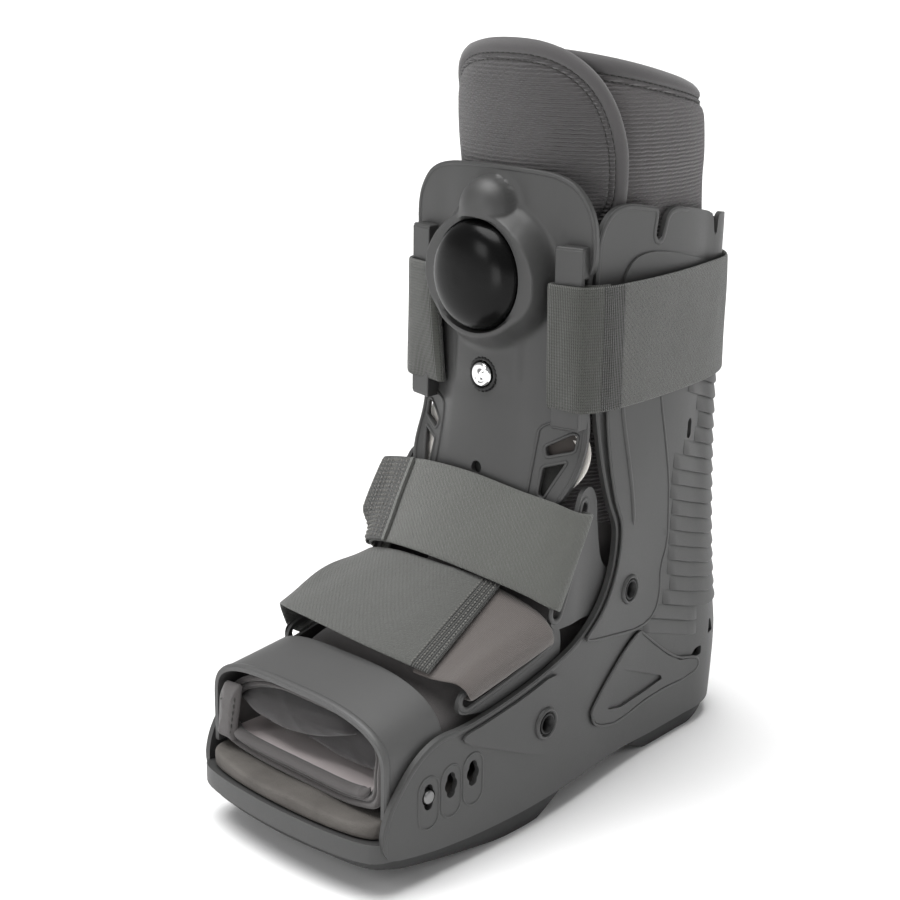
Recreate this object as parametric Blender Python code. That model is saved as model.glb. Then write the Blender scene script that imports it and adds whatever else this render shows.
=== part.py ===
"""Medical walking boot: a moulded shell with a padded bootie, a front panel with an air pump, and straps.

The toe points to -Y, the heel to +Y, and the boot stands on z = 0. Sizes in the tables are millimetres.
"""
import math
from collections import namedtuple

import bmesh
import bpy
from mathutils import Vector

MM = 0.001

# Driving dimensions, in millimetres
GAP = 0.3
SHELL_WALL = 2.6
MIDDLE_Y = 5.4
SIDE_END_Y = 105.0
CORNER_RUN = 70.0
CORNER_POWER = 2.6
RIB_PITCH = 8.1
RIB_RISE = 1.3
RIB_LOW = 66.5
RIB_HIGH = 196.0
RIB_REACH = 60.0
RIB_STEP = 0.1
PANEL_WALL = 2.5
CELL_WALL = 3.0
CELL_CLEAR = 0.8
PANEL_COLUMNS = (-50, -38, -24, -10, 10, 24, 38, 50)
FLAP_WALL = 6.4
FLAP_CLEAR = 1.0
LOOP_WALL = 2.4
STRAP_WALL = 1.6
GUARD_WALL = 2.5
PLATE_CLEAR = 0.8
GUARD_FRONT_Y = -128.0
GUARD_REAR_Y = -92.0
GUARD_HALF = 57.9
GUARD_RIGHT_POWER = 2.7
GUARD_LEFT_POWER = 3.6
LINER_POWER = 2.3
BULB_Z = 253.5
BULB_RADIUS = 25.6
RIM_Y = -15.0
BULB_BASE_Y = -5.0
BULB_BORE = 26.3
BULB_SIDES = 20
VALVE_Z = 205.5
VALVE_RADIUS = 6.1
CALF_STRAP_LOW = 195.5
CALF_STRAP_HIGH = 254.0
INSOLE_TOP = 36.0
# The y places where the long sides of the shell and the sole are faceted
SIDE_STATIONS = (-118, -98, -60, -20, 12, 46, 76, 100)
SOLE_BACK_Y = 151.0

Look = namedtuple("Look", "colour roughness metallic")
GREY_PLASTIC = Look((0.125, 0.125, 0.125), 0.5, 0.0)
SOLE_RUBBER = Look((0.06, 0.06, 0.06), 0.75, 0.0)
FOAM = Look((0.17, 0.155, 0.14), 0.9, 0.0)
KNIT = Look((0.115, 0.11, 0.105), 0.95, 0.0)
WEBBING = Look((0.15, 0.15, 0.14), 0.9, 0.0)
TAB_FABRIC = Look((0.16, 0.145, 0.135), 0.9, 0.0)
BLACK_RUBBER = Look((0.01, 0.01, 0.01), 0.25, 0.0)
BLACK_METAL = Look((0.012, 0.012, 0.012), 0.35, 0.6)
CHROME = Look((0.8, 0.8, 0.8), 0.08, 1.0)
OFF_WHITE = Look((0.62, 0.58, 0.54), 0.6, 0.0)
LIGHT_METAL = Look((0.55, 0.55, 0.55), 0.35, 0.8)

# Half width of the shell's outer face at each y, low down and high up
SHELL_HALF_LOW = ((-135, 60.6), (-125, 61.3), (-110, 61.8), (-95, 62.0), (-40, 61.5), (0, 57.5),
                  (34, 52.0), (58, 48.6), (85, 46.0), (105, 44.5))
SHELL_HALF_HIGH = ((-135, 56.0), (9, 52.0), (60, 51.8), (85, 49.8), (105, 44.9))
SHELL_BACK = ((5, 150), (35, 154), (52, 154), (75, 148), (100, 142.8), (129, 138.6), (173, 134.4), (230, 135),
              (270, 136.8))
BLEND_LOW_Z = 100.0
BLEND_HIGH_Z = 190.0

# The shell's edge on one side, from the heel's lower edge forward, up the wing and back along the top
ShellEdge = namedtuple("ShellEdge", "y z")
SHELL_SIDE_EDGE = tuple(ShellEdge(*row) for row in (
    (104, 9.5), (75, 9.5), (60, 10.5), (34, 12), (-10, 12), (-70, 12), (-97, 13.8), (-116, 16.5),
    (-127, 18.5), (-131, 23), (-132, 31), (-130, 39), (-126, 46.5), (-116, 58.5), (-107, 65), (-97, 68.5),
    (-84, 67.8), (-70, 69.5), (-44, 74), (-7, 82), (6, 88), (17, 95), (25, 104), (29.5, 114), (31.5, 125),
    (31, 134), (27, 141), (23.5, 148), (18.5, 164), (13.5, 189), (9.6, 215), (9.6, 268), (12.5, 278), (19, 285.5),
    (29, 288), (40, 287), (50, 285), (55.5, 283.5), (52.8, 271.5), (54, 269), (57, 269), (58.2, 271.5),
    (62.5, 284), (80, 282), (100, 278)))
# The back's edge, by distance from the back's middle line
BackEdge = namedtuple("BackEdge", "run z")
SHELL_BACK_TOP = tuple(BackEdge(*row) for row in (
    (68, 276.5), (67, 266), (65.4, 263.5), (63.8, 266), (63.2, 276), (50, 275), (28, 270), (0, 267)))
SHELL_BACK_LOW = tuple(BackEdge(*row) for row in ((0, 13), (20, 12), (45, 10)))

TOE_SLOTS = (ShellEdge(-105, 42), ShellEdge(-91, 43), ShellEdge(-77, 44))
SLOT_HALF_WIDTH = 2.6
SLOT_HALF_HEIGHT = 6.2
SLOT_EYE = 3.9
VENT = ShellEdge(92.6, 169.6)
INSTEP_RIVET = ShellEdge(-28.4, 52.5)
ANKLE_RIVET = ShellEdge(43.4, 97.7)
RIVET_HOLE = 3.9

FLOOR_TOP = ((-143, 29), (-125, 26.5), (-100, 24), (-60, 22), (146, 21))
FLOOR_LOW = ((-143, 19.2), (-130, 18.4), (-116, 16.6), (-97, 14), (-70, 12.2), (146, 12.2))
TOE_HALF = 60.2
TOE_OUTLINE = ((TOE_HALF, -127), (59, -132), (55, -136.2), (46, -139.4), (30, -142), (12, -143.2), (0, -143.4))

# The forefoot and heel treads: height of the ground side along y
FOREFOOT_LOW = ((-139, 16.2), (-125, 11.5), (-95, 6), (-70, 2.4), (-50, 0), (-24, 0), (-8, 8))
HEEL_LOW = ((52, 9), (58, 6.5), (74, 0), (113, 0), (127, 3), (146, 7))
FOREFOOT_TOP = ((-139, 18.6), (-127, 17.6), (-116, 15.8), (-97, 13.3), (-70, 11.6), (-8, 11.6))

# The bootie: each row is one ring, given by its front and back point, half width and wall
Ring = namedtuple("Ring", "front_y front_z back_y back_z half power wall")
LINER_RINGS = tuple(Ring(*row) for row in (
    (9, 358, 111, 334, 50, 2.3, 9), (8, 342, 117, 322, 52, 2.3, 10), (7.5, 318, 121, 306, 51.5, 2.3, 10),
    (7.5, 295, 125, 289, 48, 2.3, 10), (7.5, 262, 128, 258, 47.2, 2.3, 10),
    (6, 195, 129, 185, 46.8, 2.3, 10), (1, 165, 130, 140, 45, 2.3, 9), (-5, 142, 132, 105, 43, 2.3, 9),
    (-15, 126, 136, 72, 42.3, 2.4, 8), (-28, 114, 131, 42, 43.0, 2.5, 8), (-43, 106, 98, 36.5, 45.8, 2.6, 8),
    (-60, 98, 45, 36.3, 49.5, 2.7, 8), (-78, 89, -15, 36.3, 52.5, 2.8, 7.5), (-94, 81, -62, 36.3, 53.8, 2.8, 7),
    (-110, 78, -97, 36.3, 54.3, 2.8, 6.5), (-125, 75, -124, 36.3, 54.3, 2.9, 6)))
LINER_SIDES = 24

# The flap's outline: angle round the bootie from its front in degrees, and height
FlapEdge = namedtuple("FlapEdge", "angle z")
FLAP_EDGE = tuple(FlapEdge(*row) for row in (
    (0, 205), (28, 207), (36, 214), (41, 235), (46, 256), (51, 268), (57, 276), (62, 284), (64, 294), (62.5, 312),
    (57, 331), (49, 345), (37, 354.5), (21, 360), (0, 361), (-21, 359.5), (-36, 356), (-48, 350), (-58, 340),
    (-64, 324), (-64, 296), (-62, 284), (-57, 276), (-51, 268), (-46, 256), (-41, 235), (-36, 214), (-28, 207)))

# The front panel's front face: its y at five places across, by height
PanelSection = namedtuple("PanelSection", "z middle column flank arm edge")
PANEL_STATIONS = (0, 20, 34, 46, 57)
PANEL_SECTIONS = tuple(PanelSection(*row) for row in (
    (136, -15.4, -14.2, -12.0, -10.6, -9.6), (152, -13.0, -11.6, -8.8, -6.8, -5.4),
    (176, -10.6, -8.4, -2.4, 2.6, 5.6), (192, -9.4, -6.6, 0.2, 4.8, 7.4), (205, -7.2, -5.0, 1.0, 4.8, 6.8),
    (250, -7.0, -4.0, 1.2, 3.6, 4.6), (280, -4.6, -2.6, 0.6, 2.2, 3.8), (305, -3.0, -1.7, 0.2, 1.6, 3.4)))
PanelEdge = namedtuple("PanelEdge", "x z")
PANEL_EDGE = tuple(PanelEdge(*row) for row in (
    (0, 138), (24, 140), (40, 144), (48, 151), (52, 160), (53.5, 170), (53, 190), (51.5, 196), (51.5, 256),
    (56, 261), (56.5, 276), (55, 285), (51, 292.5), (45, 298.5), (36, 302), (25, 303.3), (0, 304)))
WINDOW_TOP = tuple(PanelEdge(*row) for row in ((34, 175.8), (36, 170.6), (48.6, 174.8), (49, 182.6), (46, 183.2)))
WINDOW_LOW = tuple(PanelEdge(*row) for row in ((35, 166.6), (46.6, 170.4), (39.2, 151.8), (35.4, 153.2)))
PANEL_HOLE_Z = 160.3
PANEL_HOLE_RADIUS = 3.2
HOUSING_HOLE = 28.0
VALVE_HOLE = 6.9
DOME_Z = 284.5
DOME_RADIUS = 13.5

# One ear in plan: the bar that the strap wraps, and the blocks that carry it
EAR_BAR = ((39.8, -5.4), (54.0, -2.4), (53.6, 0.4), (40.2, -2.6))
EAR_BLOCK = ((40.0, -5.1), (53.8, -2.1))
EAR_LOW = 186.0
EAR_HIGH = 271.0
EAR_BLOCK_HIGH = 9.0
EAR_BLOCK_TOP = 14.5

CELL_EDGE = tuple(PanelEdge(*row) for row in (
    (0, 144), (30, 146), (43, 152), (51.5, 161), (55.3, 169), (54, 178), (47, 186), (44, 200), (42, 218), (24, 221),
    (0, 222)))

# The strap plates on one side, in y and z, and the ankle plate's outer face by y
ANKLE_PLATE = ((-24.5, 101), (-22.5, 96.8), (-16, 94.8), (6, 94.5), (30, 87), (51, 93), (52, 102), (44, 108), (24, 112),
               (18.5, 136), (18, 150), (12, 157.5), (3, 158.5), (-3, 153))
ANKLE_SLOT = (ShellEdge(3.5, 149), ShellEdge(-19.5, 104))
ANKLE_PLATE_X = ((-28, 60.2), (-5, 57.6), (0, 56.2), (5, 54.6), (12, 52.3), (17, 51.1), (30, 48.9), (36, 47.8),
                 (43, 46.7), (52, 45.2))
INSTEP_PLATE = ((-84, 74), (-80, 71.5), (-48, 67), (-37, 48), (-28, 43.5), (-18, 47), (-10, 84), (-13, 97),
                (-19, 97.2), (-77, 84.2), (-83, 80.5))
INSTEP_SLOT = (ShellEdge(-78, 78.0), ShellEdge(-22, 90.6))
PLATE_SLOT_HALF = 2.8
PLATE_RIVET_HOLE = 4.3

# The straps over the instep: each row is one line across the strap, from its front to its rear edge
StrapRow = namedtuple("StrapRow", "front_x front_y front_z rear_x rear_y rear_z")


def strap_rows(table):
    """Rows of (x, front y, front z, rear y, rear z), or with an x for each edge."""
    return [StrapRow(*row) if len(row) == 6 else StrapRow(row[0], row[1], row[2], row[0], row[3], row[4])
            for row in table]


ANKLE_STRAP = strap_rows((
    (-54.0, -18.2, 104.6, 3.6, 147.4), (-58.6, -18.5, 104.8, 3.4, 147.6), (-62.4, -20.4, 106.4, 1.6, 148.6),
    (-62.6, -23.6, 108.6, -1.4, 150.0), (-58, -27.5, 112.4, -6.2, 152.0), (-48, -32.5, 116.4, -11.8, 155.0),
    (-30, -36.0, 119.5, -14.8, 158.3), (0, -37.0, 119.8, -15.8, 159.0), (30, -34.0, 116.5, -13.6, 155.6),
    (48, -30.2, 112.9, -10.8, 153.4), (58, -27.2, 109.6, -6.8, 150.4), (62.6, -23.8, 107.6, -2.2, 149.0),
    (62.4, -20.4, 105.6, 1.6, 147.8), (58.6, -18.5, 104.6, 3.4, 147.4), (54.0, -18.2, 104.4, 3.6, 147.2)))
INSTEP_STRAP = strap_rows((
    (-55.0, -77.0, 77.4, -22.4, 89.6), (-58.6, -77.4, 77.6, -22.4, 89.8), (-62.2, -79.0, 79.6, -22.8, 92.2),
    (-63.0, -81.4, 86.0, -23.4, 97.5), (-62.0, -84.0, 91.8, -26.0, 104.0), (-57.5, -87.4, 95.2, -28.6, 109.0),
    (-48, -90.4, 96.4, -31.2, 113.0), (-28, -92.8, 96.8, -34.0, 116.6), (0, -94.0, 95.8, -35.0, 117.6),
    (22, -92.4, 93.8, 14, -33.6, 117.0), (44, -88.2, 90.4, 33, -29.4, 114.4)))
INSTEP_TAB = strap_rows((
    (35, -88.6, 88.6, 22, -30.6, 113.4), (43, -87.0, 87.6, 32, -28.8, 111.8), (50, -85.6, 87.9, 43, -27.2, 109.2),
    (57, -84.2, 88.4, 55, -26.0, 105.0), (61.4, -82.0, 85.4, 61.6, -25.2, 99.4), (62.9, -80.4, 81.6, 63, -24.4, 94.6),
    (61.8, -78.4, 79.0, 61.8, -23.0, 91.2), (58.6, -77.4, 77.6, 58.6, -22.4, 89.8),
    (55.0, -77.0, 77.4, 55.0, -22.4, 89.6)))

# The calf strap's middle line in plan, from its inner end round the ear and back to the heel's middle
CALF_STRAP_PLAN = ((58.0, 13.0), (54.6, 4.2), (47.0, 0.9), (41.0, -0.6), (38.4, -1.8), (37.6, -4.2), (38.6, -6.6),
                   (46.0, -6.0), (54.6, -3.9), (58.6, 1.0), (60.8, 8.0), (61.4, 16.0), (61.0, 40.0), (57.8, 72.0),
                   (53.8, 96.0), (49.4, 111.0), (42.6, 123.8), (31.5, 133.4), (16.0, 138.8), (0.0, 140.4))


def clear_scene():
    for old in list(bpy.data.objects):
        bpy.data.objects.remove(old, do_unlink=True)


def ramp(table, at):
    """Straight-line value of a table of (place, value) rows."""
    if at <= table[0][0]:
        return table[0][1]
    for (a, low), (b, high) in zip(table, table[1:]):
        if at <= b:
            return low + (high - low) * (at - a) / (b - a)
    return table[-1][1]


def smooth(table, at):
    """Smooth value of a table of (place, value) rows, a cubic through them."""
    last = len(table) - 1
    i = 0
    while i < last - 1 and at > table[i + 1][0]:
        i += 1
    before = table[max(i - 1, 0)]
    a = table[i]
    b = table[i + 1]
    after = table[min(i + 2, last)]
    t = min(max((at - a[0]) / (b[0] - a[0]), 0.0), 1.0)
    slope_a = (b[1] - before[1]) / (b[0] - before[0])
    slope_b = (after[1] - a[1]) / (after[0] - a[0])
    run = b[0] - a[0]
    return (a[1] * (1 + 2 * t) * (1 - t) ** 2 + run * slope_a * t * (1 - t) ** 2
            + b[1] * (3 - 2 * t) * t * t - run * slope_b * t * t * (1 - t))


def blend(low, high, t):
    t = min(max(t, 0.0), 1.0)
    t = t * t * (3 - 2 * t)
    return low + (high - low) * t


def signed_power(value, power):
    return math.copysign(abs(value) ** power, value)


def steps(low, high, count):
    return [low + (high - low) * i / count for i in range(count + 1)]


def circle(u, v, radius, sides):
    turn = 2 * math.pi / sides
    return [(u + radius * math.cos(turn * i), v + radius * math.sin(turn * i)) for i in range(sides)]


def slot(start, end, half_width, arc_sides=5):
    """A slot with round ends between two points."""
    heading = math.atan2(end[1] - start[1], end[0] - start[0])
    points = []
    for centre, first in ((end, heading - math.pi / 2), (start, heading + math.pi / 2)):
        for i in range(arc_sides + 1):
            angle = first + math.pi * i / arc_sides
            points.append((centre[0] + half_width * math.cos(angle), centre[1] + half_width * math.sin(angle)))
    return points


def mirrored(half):
    """Close an outline from its right half, which starts and ends on the middle line."""
    return list(half) + [(-u, v) for u, v in reversed(half[1:-1])]


def in_metres(point):
    """A point of the tables in metres, from the middle of the boot's length."""
    return (Vector(point) - Vector((0, MIDDLE_Y, 0))) * MM


def material_for(name, look):
    material = bpy.data.materials.new(name)
    material.use_nodes = True
    shader = material.node_tree.nodes["Principled BSDF"]
    shader.inputs["Base Color"].default_value = (*look.colour, 1.0)
    shader.inputs["Roughness"].default_value = look.roughness
    shader.inputs["Metallic"].default_value = look.metallic
    return material


def add_object(name, bm, look, sharp=35):
    """Make a mesh object from a closed bmesh whose points are in metres."""
    bmesh.ops.recalc_face_normals(bm, faces=bm.faces[:])
    bmesh.ops.triangulate(bm, faces=[face for face in bm.faces if len(face.verts) > 3])
    mesh = bpy.data.meshes.new(name)
    bm.to_mesh(mesh)
    bm.free()
    mesh.shade_smooth()
    mesh.set_sharp_from_angle(angle=math.radians(sharp))
    mesh.materials.append(material_for(name, look))
    made = bpy.data.objects.new(name, mesh)
    bpy.context.scene.collection.objects.link(made)
    return made


def flat_solid(outline, holes, low, high, u_cuts, v_cuts, zone=0.0, zone_cuts=()):
    """A plate with holes in flat coordinates (u, v, n), cut into a grid so that it can be bent.

    The zone cuts are made only in the high face, where u is within zone of the middle line.
    """
    bm = bmesh.new()
    edges = []
    for loop in [outline] + list(holes):
        verts = [bm.verts.new((u, v, low)) for u, v in loop]
        edges += [bm.edges.new((verts[i - 1], verts[i])) for i in range(len(verts))]
    bmesh.ops.triangle_fill(bm, use_beauty=True, edges=edges)
    across = Vector((1, 0, 0))
    along = Vector((0, 1, 0))
    for axis, place in [(across, u) for u in u_cuts] + [(along, v) for v in v_cuts]:
        cut = bmesh.ops.bisect_plane(bm, geom=bm.verts[:] + bm.edges[:] + bm.faces[:], dist=0.01,
                                     plane_co=axis * place, plane_no=axis)
        for item in cut["geom_cut"]:
            if isinstance(item, bmesh.types.BMEdge):
                item.seam = True
    bmesh.ops.dissolve_limit(bm, angle_limit=0.01, use_dissolve_boundaries=False, verts=bm.verts[:],
                             edges=bm.edges[:], delimit={"SEAM"})
    grown = bmesh.ops.extrude_face_region(bm, geom=bm.faces[:])
    for item in grown["geom"]:
        if isinstance(item, bmesh.types.BMVert):
            item.co.z = high
    for v in zone_cuts:
        parts = set()
        for face in bm.faces:
            middle = face.calc_center_median()
            if abs(middle.x) < zone and abs(middle.z - high) < 0.001:
                parts.update([face], face.verts, face.edges)
        bmesh.ops.bisect_plane(bm, geom=list(parts), dist=0.01, plane_co=along * v, plane_no=along)
    return bm


def bent(bm, place):
    """Move each flat point (u, v, n) to its place in space, in metres."""
    for vert in bm.verts:
        vert.co = in_metres(place(vert.co.x, vert.co.y, vert.co.z))
    return bm


def offset_point(surface, u, v, n, step=0.5):
    """A point n away from a surface, along its outward normal."""
    along_u = Vector(surface(u + step, v)) - Vector(surface(u - step, v))
    along_v = Vector(surface(u, v + step)) - Vector(surface(u, v - step))
    return Vector(surface(u, v)) + along_u.cross(along_v).normalized() * n


def ring_solid(rings):
    """A closed solid through rings of points that run round it, the last ring joined to the first."""
    bm = bmesh.new()
    rows = [[bm.verts.new(point) for point in ring] for ring in rings]
    for row, after in zip(rows, rows[1:] + rows[:1]):
        for i in range(len(row)):
            bm.faces.new((row[i - 1], row[i], after[i], after[i - 1]))
    return bm


def capped_solid(rings):
    """A closed solid through rings of points, with flat or fanned ends."""
    bm = bmesh.new()
    rows = [[bm.verts.new(point) for point in ring] for ring in rings]
    for row, after in zip(rows, rows[1:]):
        for i in range(len(row)):
            bm.faces.new((row[i - 1], row[i], after[i], after[i - 1]))
    bm.faces.new(rows[0])
    bm.faces.new(rows[-1])
    return bm


def union(base, others, operation="UNION"):
    """Join other solids to base, or cut them out of it, and remove them."""
    for other in others:
        joined = base.modifiers.new("join", "BOOLEAN")
        joined.operation = operation
        joined.object = other
        graph = bpy.context.evaluated_depsgraph_get()
        mesh = bpy.data.meshes.new_from_object(base.evaluated_get(graph))
        base.modifiers.clear()
        mesh.name = base.name
        base.data = mesh
        bpy.data.objects.remove(other, do_unlink=True)
    tidy = bmesh.new()
    tidy.from_mesh(base.data)
    bmesh.ops.remove_doubles(tidy, verts=tidy.verts[:], dist=0.00002)
    bmesh.ops.dissolve_degenerate(tidy, edges=tidy.edges[:], dist=0.00002)
    bmesh.ops.triangulate(tidy, faces=[face for face in tidy.faces if len(face.verts) > 4])
    tidy.to_mesh(base.data)
    tidy.free()
    base.data.shade_smooth()
    base.data.set_sharp_from_angle(angle=math.radians(35))
    while len(base.data.materials) > 1:
        base.data.materials.pop()
    return base


def shell_half(y, z):
    t = (z - BLEND_LOW_Z) / (BLEND_HIGH_Z - BLEND_LOW_Z)
    return blend(smooth(SHELL_HALF_LOW, y), smooth(SHELL_HALF_HIGH, y), t)


def shell_surface(run, z):
    """The shell's outer face: run is the way round it from the back's middle line, positive to the right."""
    side = math.copysign(1.0, run)
    past = abs(run)
    if past >= CORNER_RUN:
        y = SIDE_END_Y - (past - CORNER_RUN)
        return (side * shell_half(y, z), y, z)
    angle = (1 - past / CORNER_RUN) * math.pi / 2
    depth = smooth(SHELL_BACK, z) - SIDE_END_Y
    power = 2 / CORNER_POWER
    x = shell_half(SIDE_END_Y, z) * math.cos(angle) ** power
    return (side * x, SIDE_END_Y + depth * math.sin(angle) ** power, z)


def shell_run(y):
    """The run of a place on the right side, in front of the rear corner."""
    return CORNER_RUN + SIDE_END_Y - y


def rib_height(run, z):
    """Stepped ribs across the back."""
    if abs(run) >= RIB_REACH - 1 or not RIB_LOW < z < RIB_HIGH:
        return 0.0
    part = (z - RIB_LOW) / RIB_PITCH % 1.0
    return RIB_RISE * (1 - part)


def shell_point(run, z, n):
    if n >= 0:
        n += rib_height(run, z)
    return offset_point(shell_surface, run, z, -n)


def shell_outline():
    right = [(row.run, row.z) for row in SHELL_BACK_LOW]
    right += [(shell_run(row.y), row.z) for row in SHELL_SIDE_EDGE]
    right += [(row.run, row.z) for row in SHELL_BACK_TOP]
    return mirrored(right)


def toe_slot_outline(centre):
    """A keyhole: a slot with a round eye in its middle."""
    run = shell_run(centre.y)
    notch = math.asin(SLOT_HALF_WIDTH / SLOT_EYE)
    points = []
    for side in (1, -1):
        base = 0 if side == 1 else math.pi
        for i in range(4):
            angle = base - (math.pi / 2 - notch) + (math.pi - 2 * notch) * i / 3
            points.append((run + SLOT_EYE * math.cos(angle), centre.z + SLOT_EYE * math.sin(angle)))
        points.append((run + side * SLOT_HALF_WIDTH * 0.9, centre.z + side * (SLOT_HALF_HEIGHT - 1.2)))
        points.append((run, centre.z + side * SLOT_HALF_HEIGHT))
        points.append((run - side * SLOT_HALF_WIDTH * 0.9, centre.z + side * (SLOT_HALF_HEIGHT - 1.2)))
    return points


def shell_holes():
    right = [toe_slot_outline(centre) for centre in TOE_SLOTS]
    right.append(slot((shell_run(VENT.y), VENT.z - 3), (shell_run(VENT.y), VENT.z + 3), 2.2, 4))
    right += [circle(shell_run(rivet.y), rivet.z, RIVET_HOLE, 10) for rivet in (INSTEP_RIVET, ANKLE_RIVET)]
    right.append([(48, 48.5), (55, 48.5), (53.5, 56.5), (51.5, 56.5)])
    right.append([(61.5, 39.5), (69.5, 39.5), (66, 44.5), (61.5, 44.5)])
    return right + [[(-u, v) for u, v in reversed(hole)] for hole in right]


def make_shell():
    ribs = []
    z = RIB_LOW
    while z < RIB_HIGH - 1:
        ribs += [z + RIB_STEP, z + RIB_PITCH - RIB_STEP]
        z += RIB_PITCH
    corner = steps(-RIB_REACH, RIB_REACH, 8)
    sides = [side * shell_run(y) for y in SIDE_STATIONS for side in (1, -1)]
    heights = [28, 50, 66, 90, 116, 142, 170, 204, 240]
    bm = flat_solid(shell_outline(), shell_holes(), -SHELL_WALL, 0.0, corner + sides, heights, RIB_REACH, ribs)
    wall = add_object("shell", bent(bm, shell_point), GREY_PLASTIC)
    return union(wall, [make_floor()])


def sole_half(y, inset):
    """Half outline of the sole in plan at y, inside the shell's outer face."""
    return smooth(SHELL_HALF_LOW, y) - inset


def sole_outline(inset, toe_inset, toe_narrow, start_y, end_y):
    """Sole outline in plan, cut off at start_y and end_y, with the toe set back and narrowed on each side."""
    right = []
    if start_y < -140:
        right += [(x * (1 - toe_narrow / TOE_HALF), y + toe_inset) for x, y in reversed(TOE_OUTLINE)]
    else:
        right.append((0, start_y))
        right.append((sole_half(start_y, inset), start_y))
    stations = [y for y in SIDE_STATIONS if start_y + 4 < y < end_y - 4]
    right += [(sole_half(y, inset), y) for y in stations]
    if end_y > 140:
        depth = SOLE_BACK_Y - inset - SIDE_END_Y
        for i in range(1, 8):
            angle = math.pi / 2 * i / 8
            x = sole_half(SIDE_END_Y, inset) * math.cos(angle) ** (2 / CORNER_POWER)
            right.append((x, SIDE_END_Y + depth * math.sin(angle) ** (2 / CORNER_POWER)))
        right.append((0, SIDE_END_Y + depth))
    else:
        right.append((sole_half(end_y, inset), end_y))
        right.append((0, end_y))
    return mirrored(right)


def make_floor():
    """The shell's tray floor, whose front edge is the toe lip."""
    outline = sole_outline(SHELL_WALL * 0.5, 0.0, 0.0, -143, 146)
    bm = flat_solid(outline, [], 0.0, 1.0, [-30, 30], [-132, -125, -116, -100, -80, -60, 0, 60, 110])

    def place(x, y, n):
        low = ramp(FLOOR_LOW, y)
        return (x, y, low + (ramp(FLOOR_TOP, y) - low) * n)

    return add_object("shell_floor", bent(bm, place), GREY_PLASTIC)


def make_tread(name, start_y, end_y, low_table, top_table, cuts):
    outline = sole_outline(1.6, 2.5, 2.5, start_y, end_y)
    bm = flat_solid(outline, [], 0.0, 1.0, [-30, 30], cuts)

    def place(x, y, n):
        low = ramp(low_table, y)
        high = ramp(top_table, y)
        narrow = 1 - 0.06 * (1 - n)
        return (x * narrow, y, low + (high - low) * n)

    return add_object(name, bent(bm, place), SOLE_RUBBER)


def make_insole():
    outline = sole_outline(SHELL_WALL + 0.5, 1.6, SHELL_WALL + 0.8, -143, 146)
    bm = flat_solid(outline, [], 0.0, 1.0, [-30, 30], [-135, -125, -100, -60])

    def place(x, y, n):
        low = ramp(FLOOR_TOP, y) + GAP
        high = INSOLE_TOP - blend(0.8, 0.0, (y + 143) / 12)
        return (x, y, low + (high - low) * n)

    return add_object("insole", bent(bm, place), FOAM)


def liner_row(front_z):
    """The bootie's ring at a height of its front point, for the calf part."""
    for high, low in zip(LINER_RINGS, LINER_RINGS[1:]):
        if front_z >= low.front_z:
            break
    t = (front_z - low.front_z) / (high.front_z - low.front_z)
    return Ring(*(a + (b - a) * t for a, b in zip(low, high)))


def ring_point(ring, angle, inside=0.0):
    """A point of a ring, angle 0 at its front point and positive to the right."""
    front = Vector((0, ring.front_y, ring.front_z))
    back = Vector((0, ring.back_y, ring.back_z))
    reach = (back - front).length / 2
    power = 2 / ring.power
    forward = (front - back).normalized()
    x = (ring.half - inside) * signed_power(math.sin(angle), power)
    depth = (reach - inside) * signed_power(math.cos(angle), power)
    return Vector((x, 0, 0)) + (front + back) / 2 + forward * depth


def make_liner():
    turns = [2 * math.pi * (i + 0.5) / LINER_SIDES for i in range(LINER_SIDES)]
    outer = [[in_metres(ring_point(ring, turn)) for turn in turns] for ring in LINER_RINGS]
    inner = [[in_metres(ring_point(ring, turn, ring.wall)) for turn in turns] for ring in LINER_RINGS]
    return add_object("liner", ring_solid(outer + inner[::-1]), KNIT)


def flap_surface(angle, z):
    return ring_point(liner_row(z), math.radians(angle))


def make_flap():
    outline = [(row.angle, row.z) for row in FLAP_EDGE]
    bm = flat_solid(outline, [], FLAP_CLEAR, FLAP_WALL, steps(-60, 60, 10), [235, 262, 295, 318, 342])
    return add_object("liner_front_flap", bent(bm, lambda u, v, n: offset_point(flap_surface, u, v, n)), KNIT)


def panel_surface(x, z):
    across = []
    for k, place in enumerate(PANEL_STATIONS):
        across.append((place, smooth([(row.z, row[k + 1]) for row in PANEL_SECTIONS], z)))
    mirrored_start = [(-across[1][0], across[1][1])]
    return (x, smooth(mirrored_start + across, abs(x)), z)


def panel_point(x, z, n):
    return offset_point(panel_surface, x, z, n)


def housing_ring():
    """The collar round the bulb: its foot follows the panel, its rim is flat."""
    Turn = namedtuple("Turn", "radius lift flatness")
    table = [Turn(35.2, -1.2, 0), Turn(35.2, 0.6, 0), Turn(32.8, 3.4, 0.35), Turn(30.4, 6.5, 0.8), Turn(28.4, 0, 1),
             Turn(27.4, 0, 1), Turn(24.6, -1.6, 1), Turn(24.6, -3.2, 0)]
    rings = []
    for turn in table:
        ring = []
        for x, z in circle(0, BULB_Z, turn.radius, BULB_SIDES):
            on_panel = Vector(panel_point(x, z, turn.lift))
            flat_y = RIM_Y - min(turn.lift, 0) * (1 if turn.flatness == 1 else 0)
            flat = Vector((x, flat_y, z))
            ring.append(in_metres(on_panel.lerp(flat, turn.flatness)))
        rings.append(ring)
    return add_object("housing", ring_solid(rings), GREY_PLASTIC)


def panel_dome():
    rings = []
    for radius, lift in ((DOME_RADIUS, -1.3), (DOME_RADIUS, 0.6), (DOME_RADIUS * 0.92, 5.0), (DOME_RADIUS * 0.7, 8.2),
                         (DOME_RADIUS * 0.36, 10.0)):
        rings.append([in_metres(panel_point(x, z, lift)) for x, z in circle(0, DOME_Z, radius, 14)])
    return add_object("dome", capped_solid(rings), GREY_PLASTIC)


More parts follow.
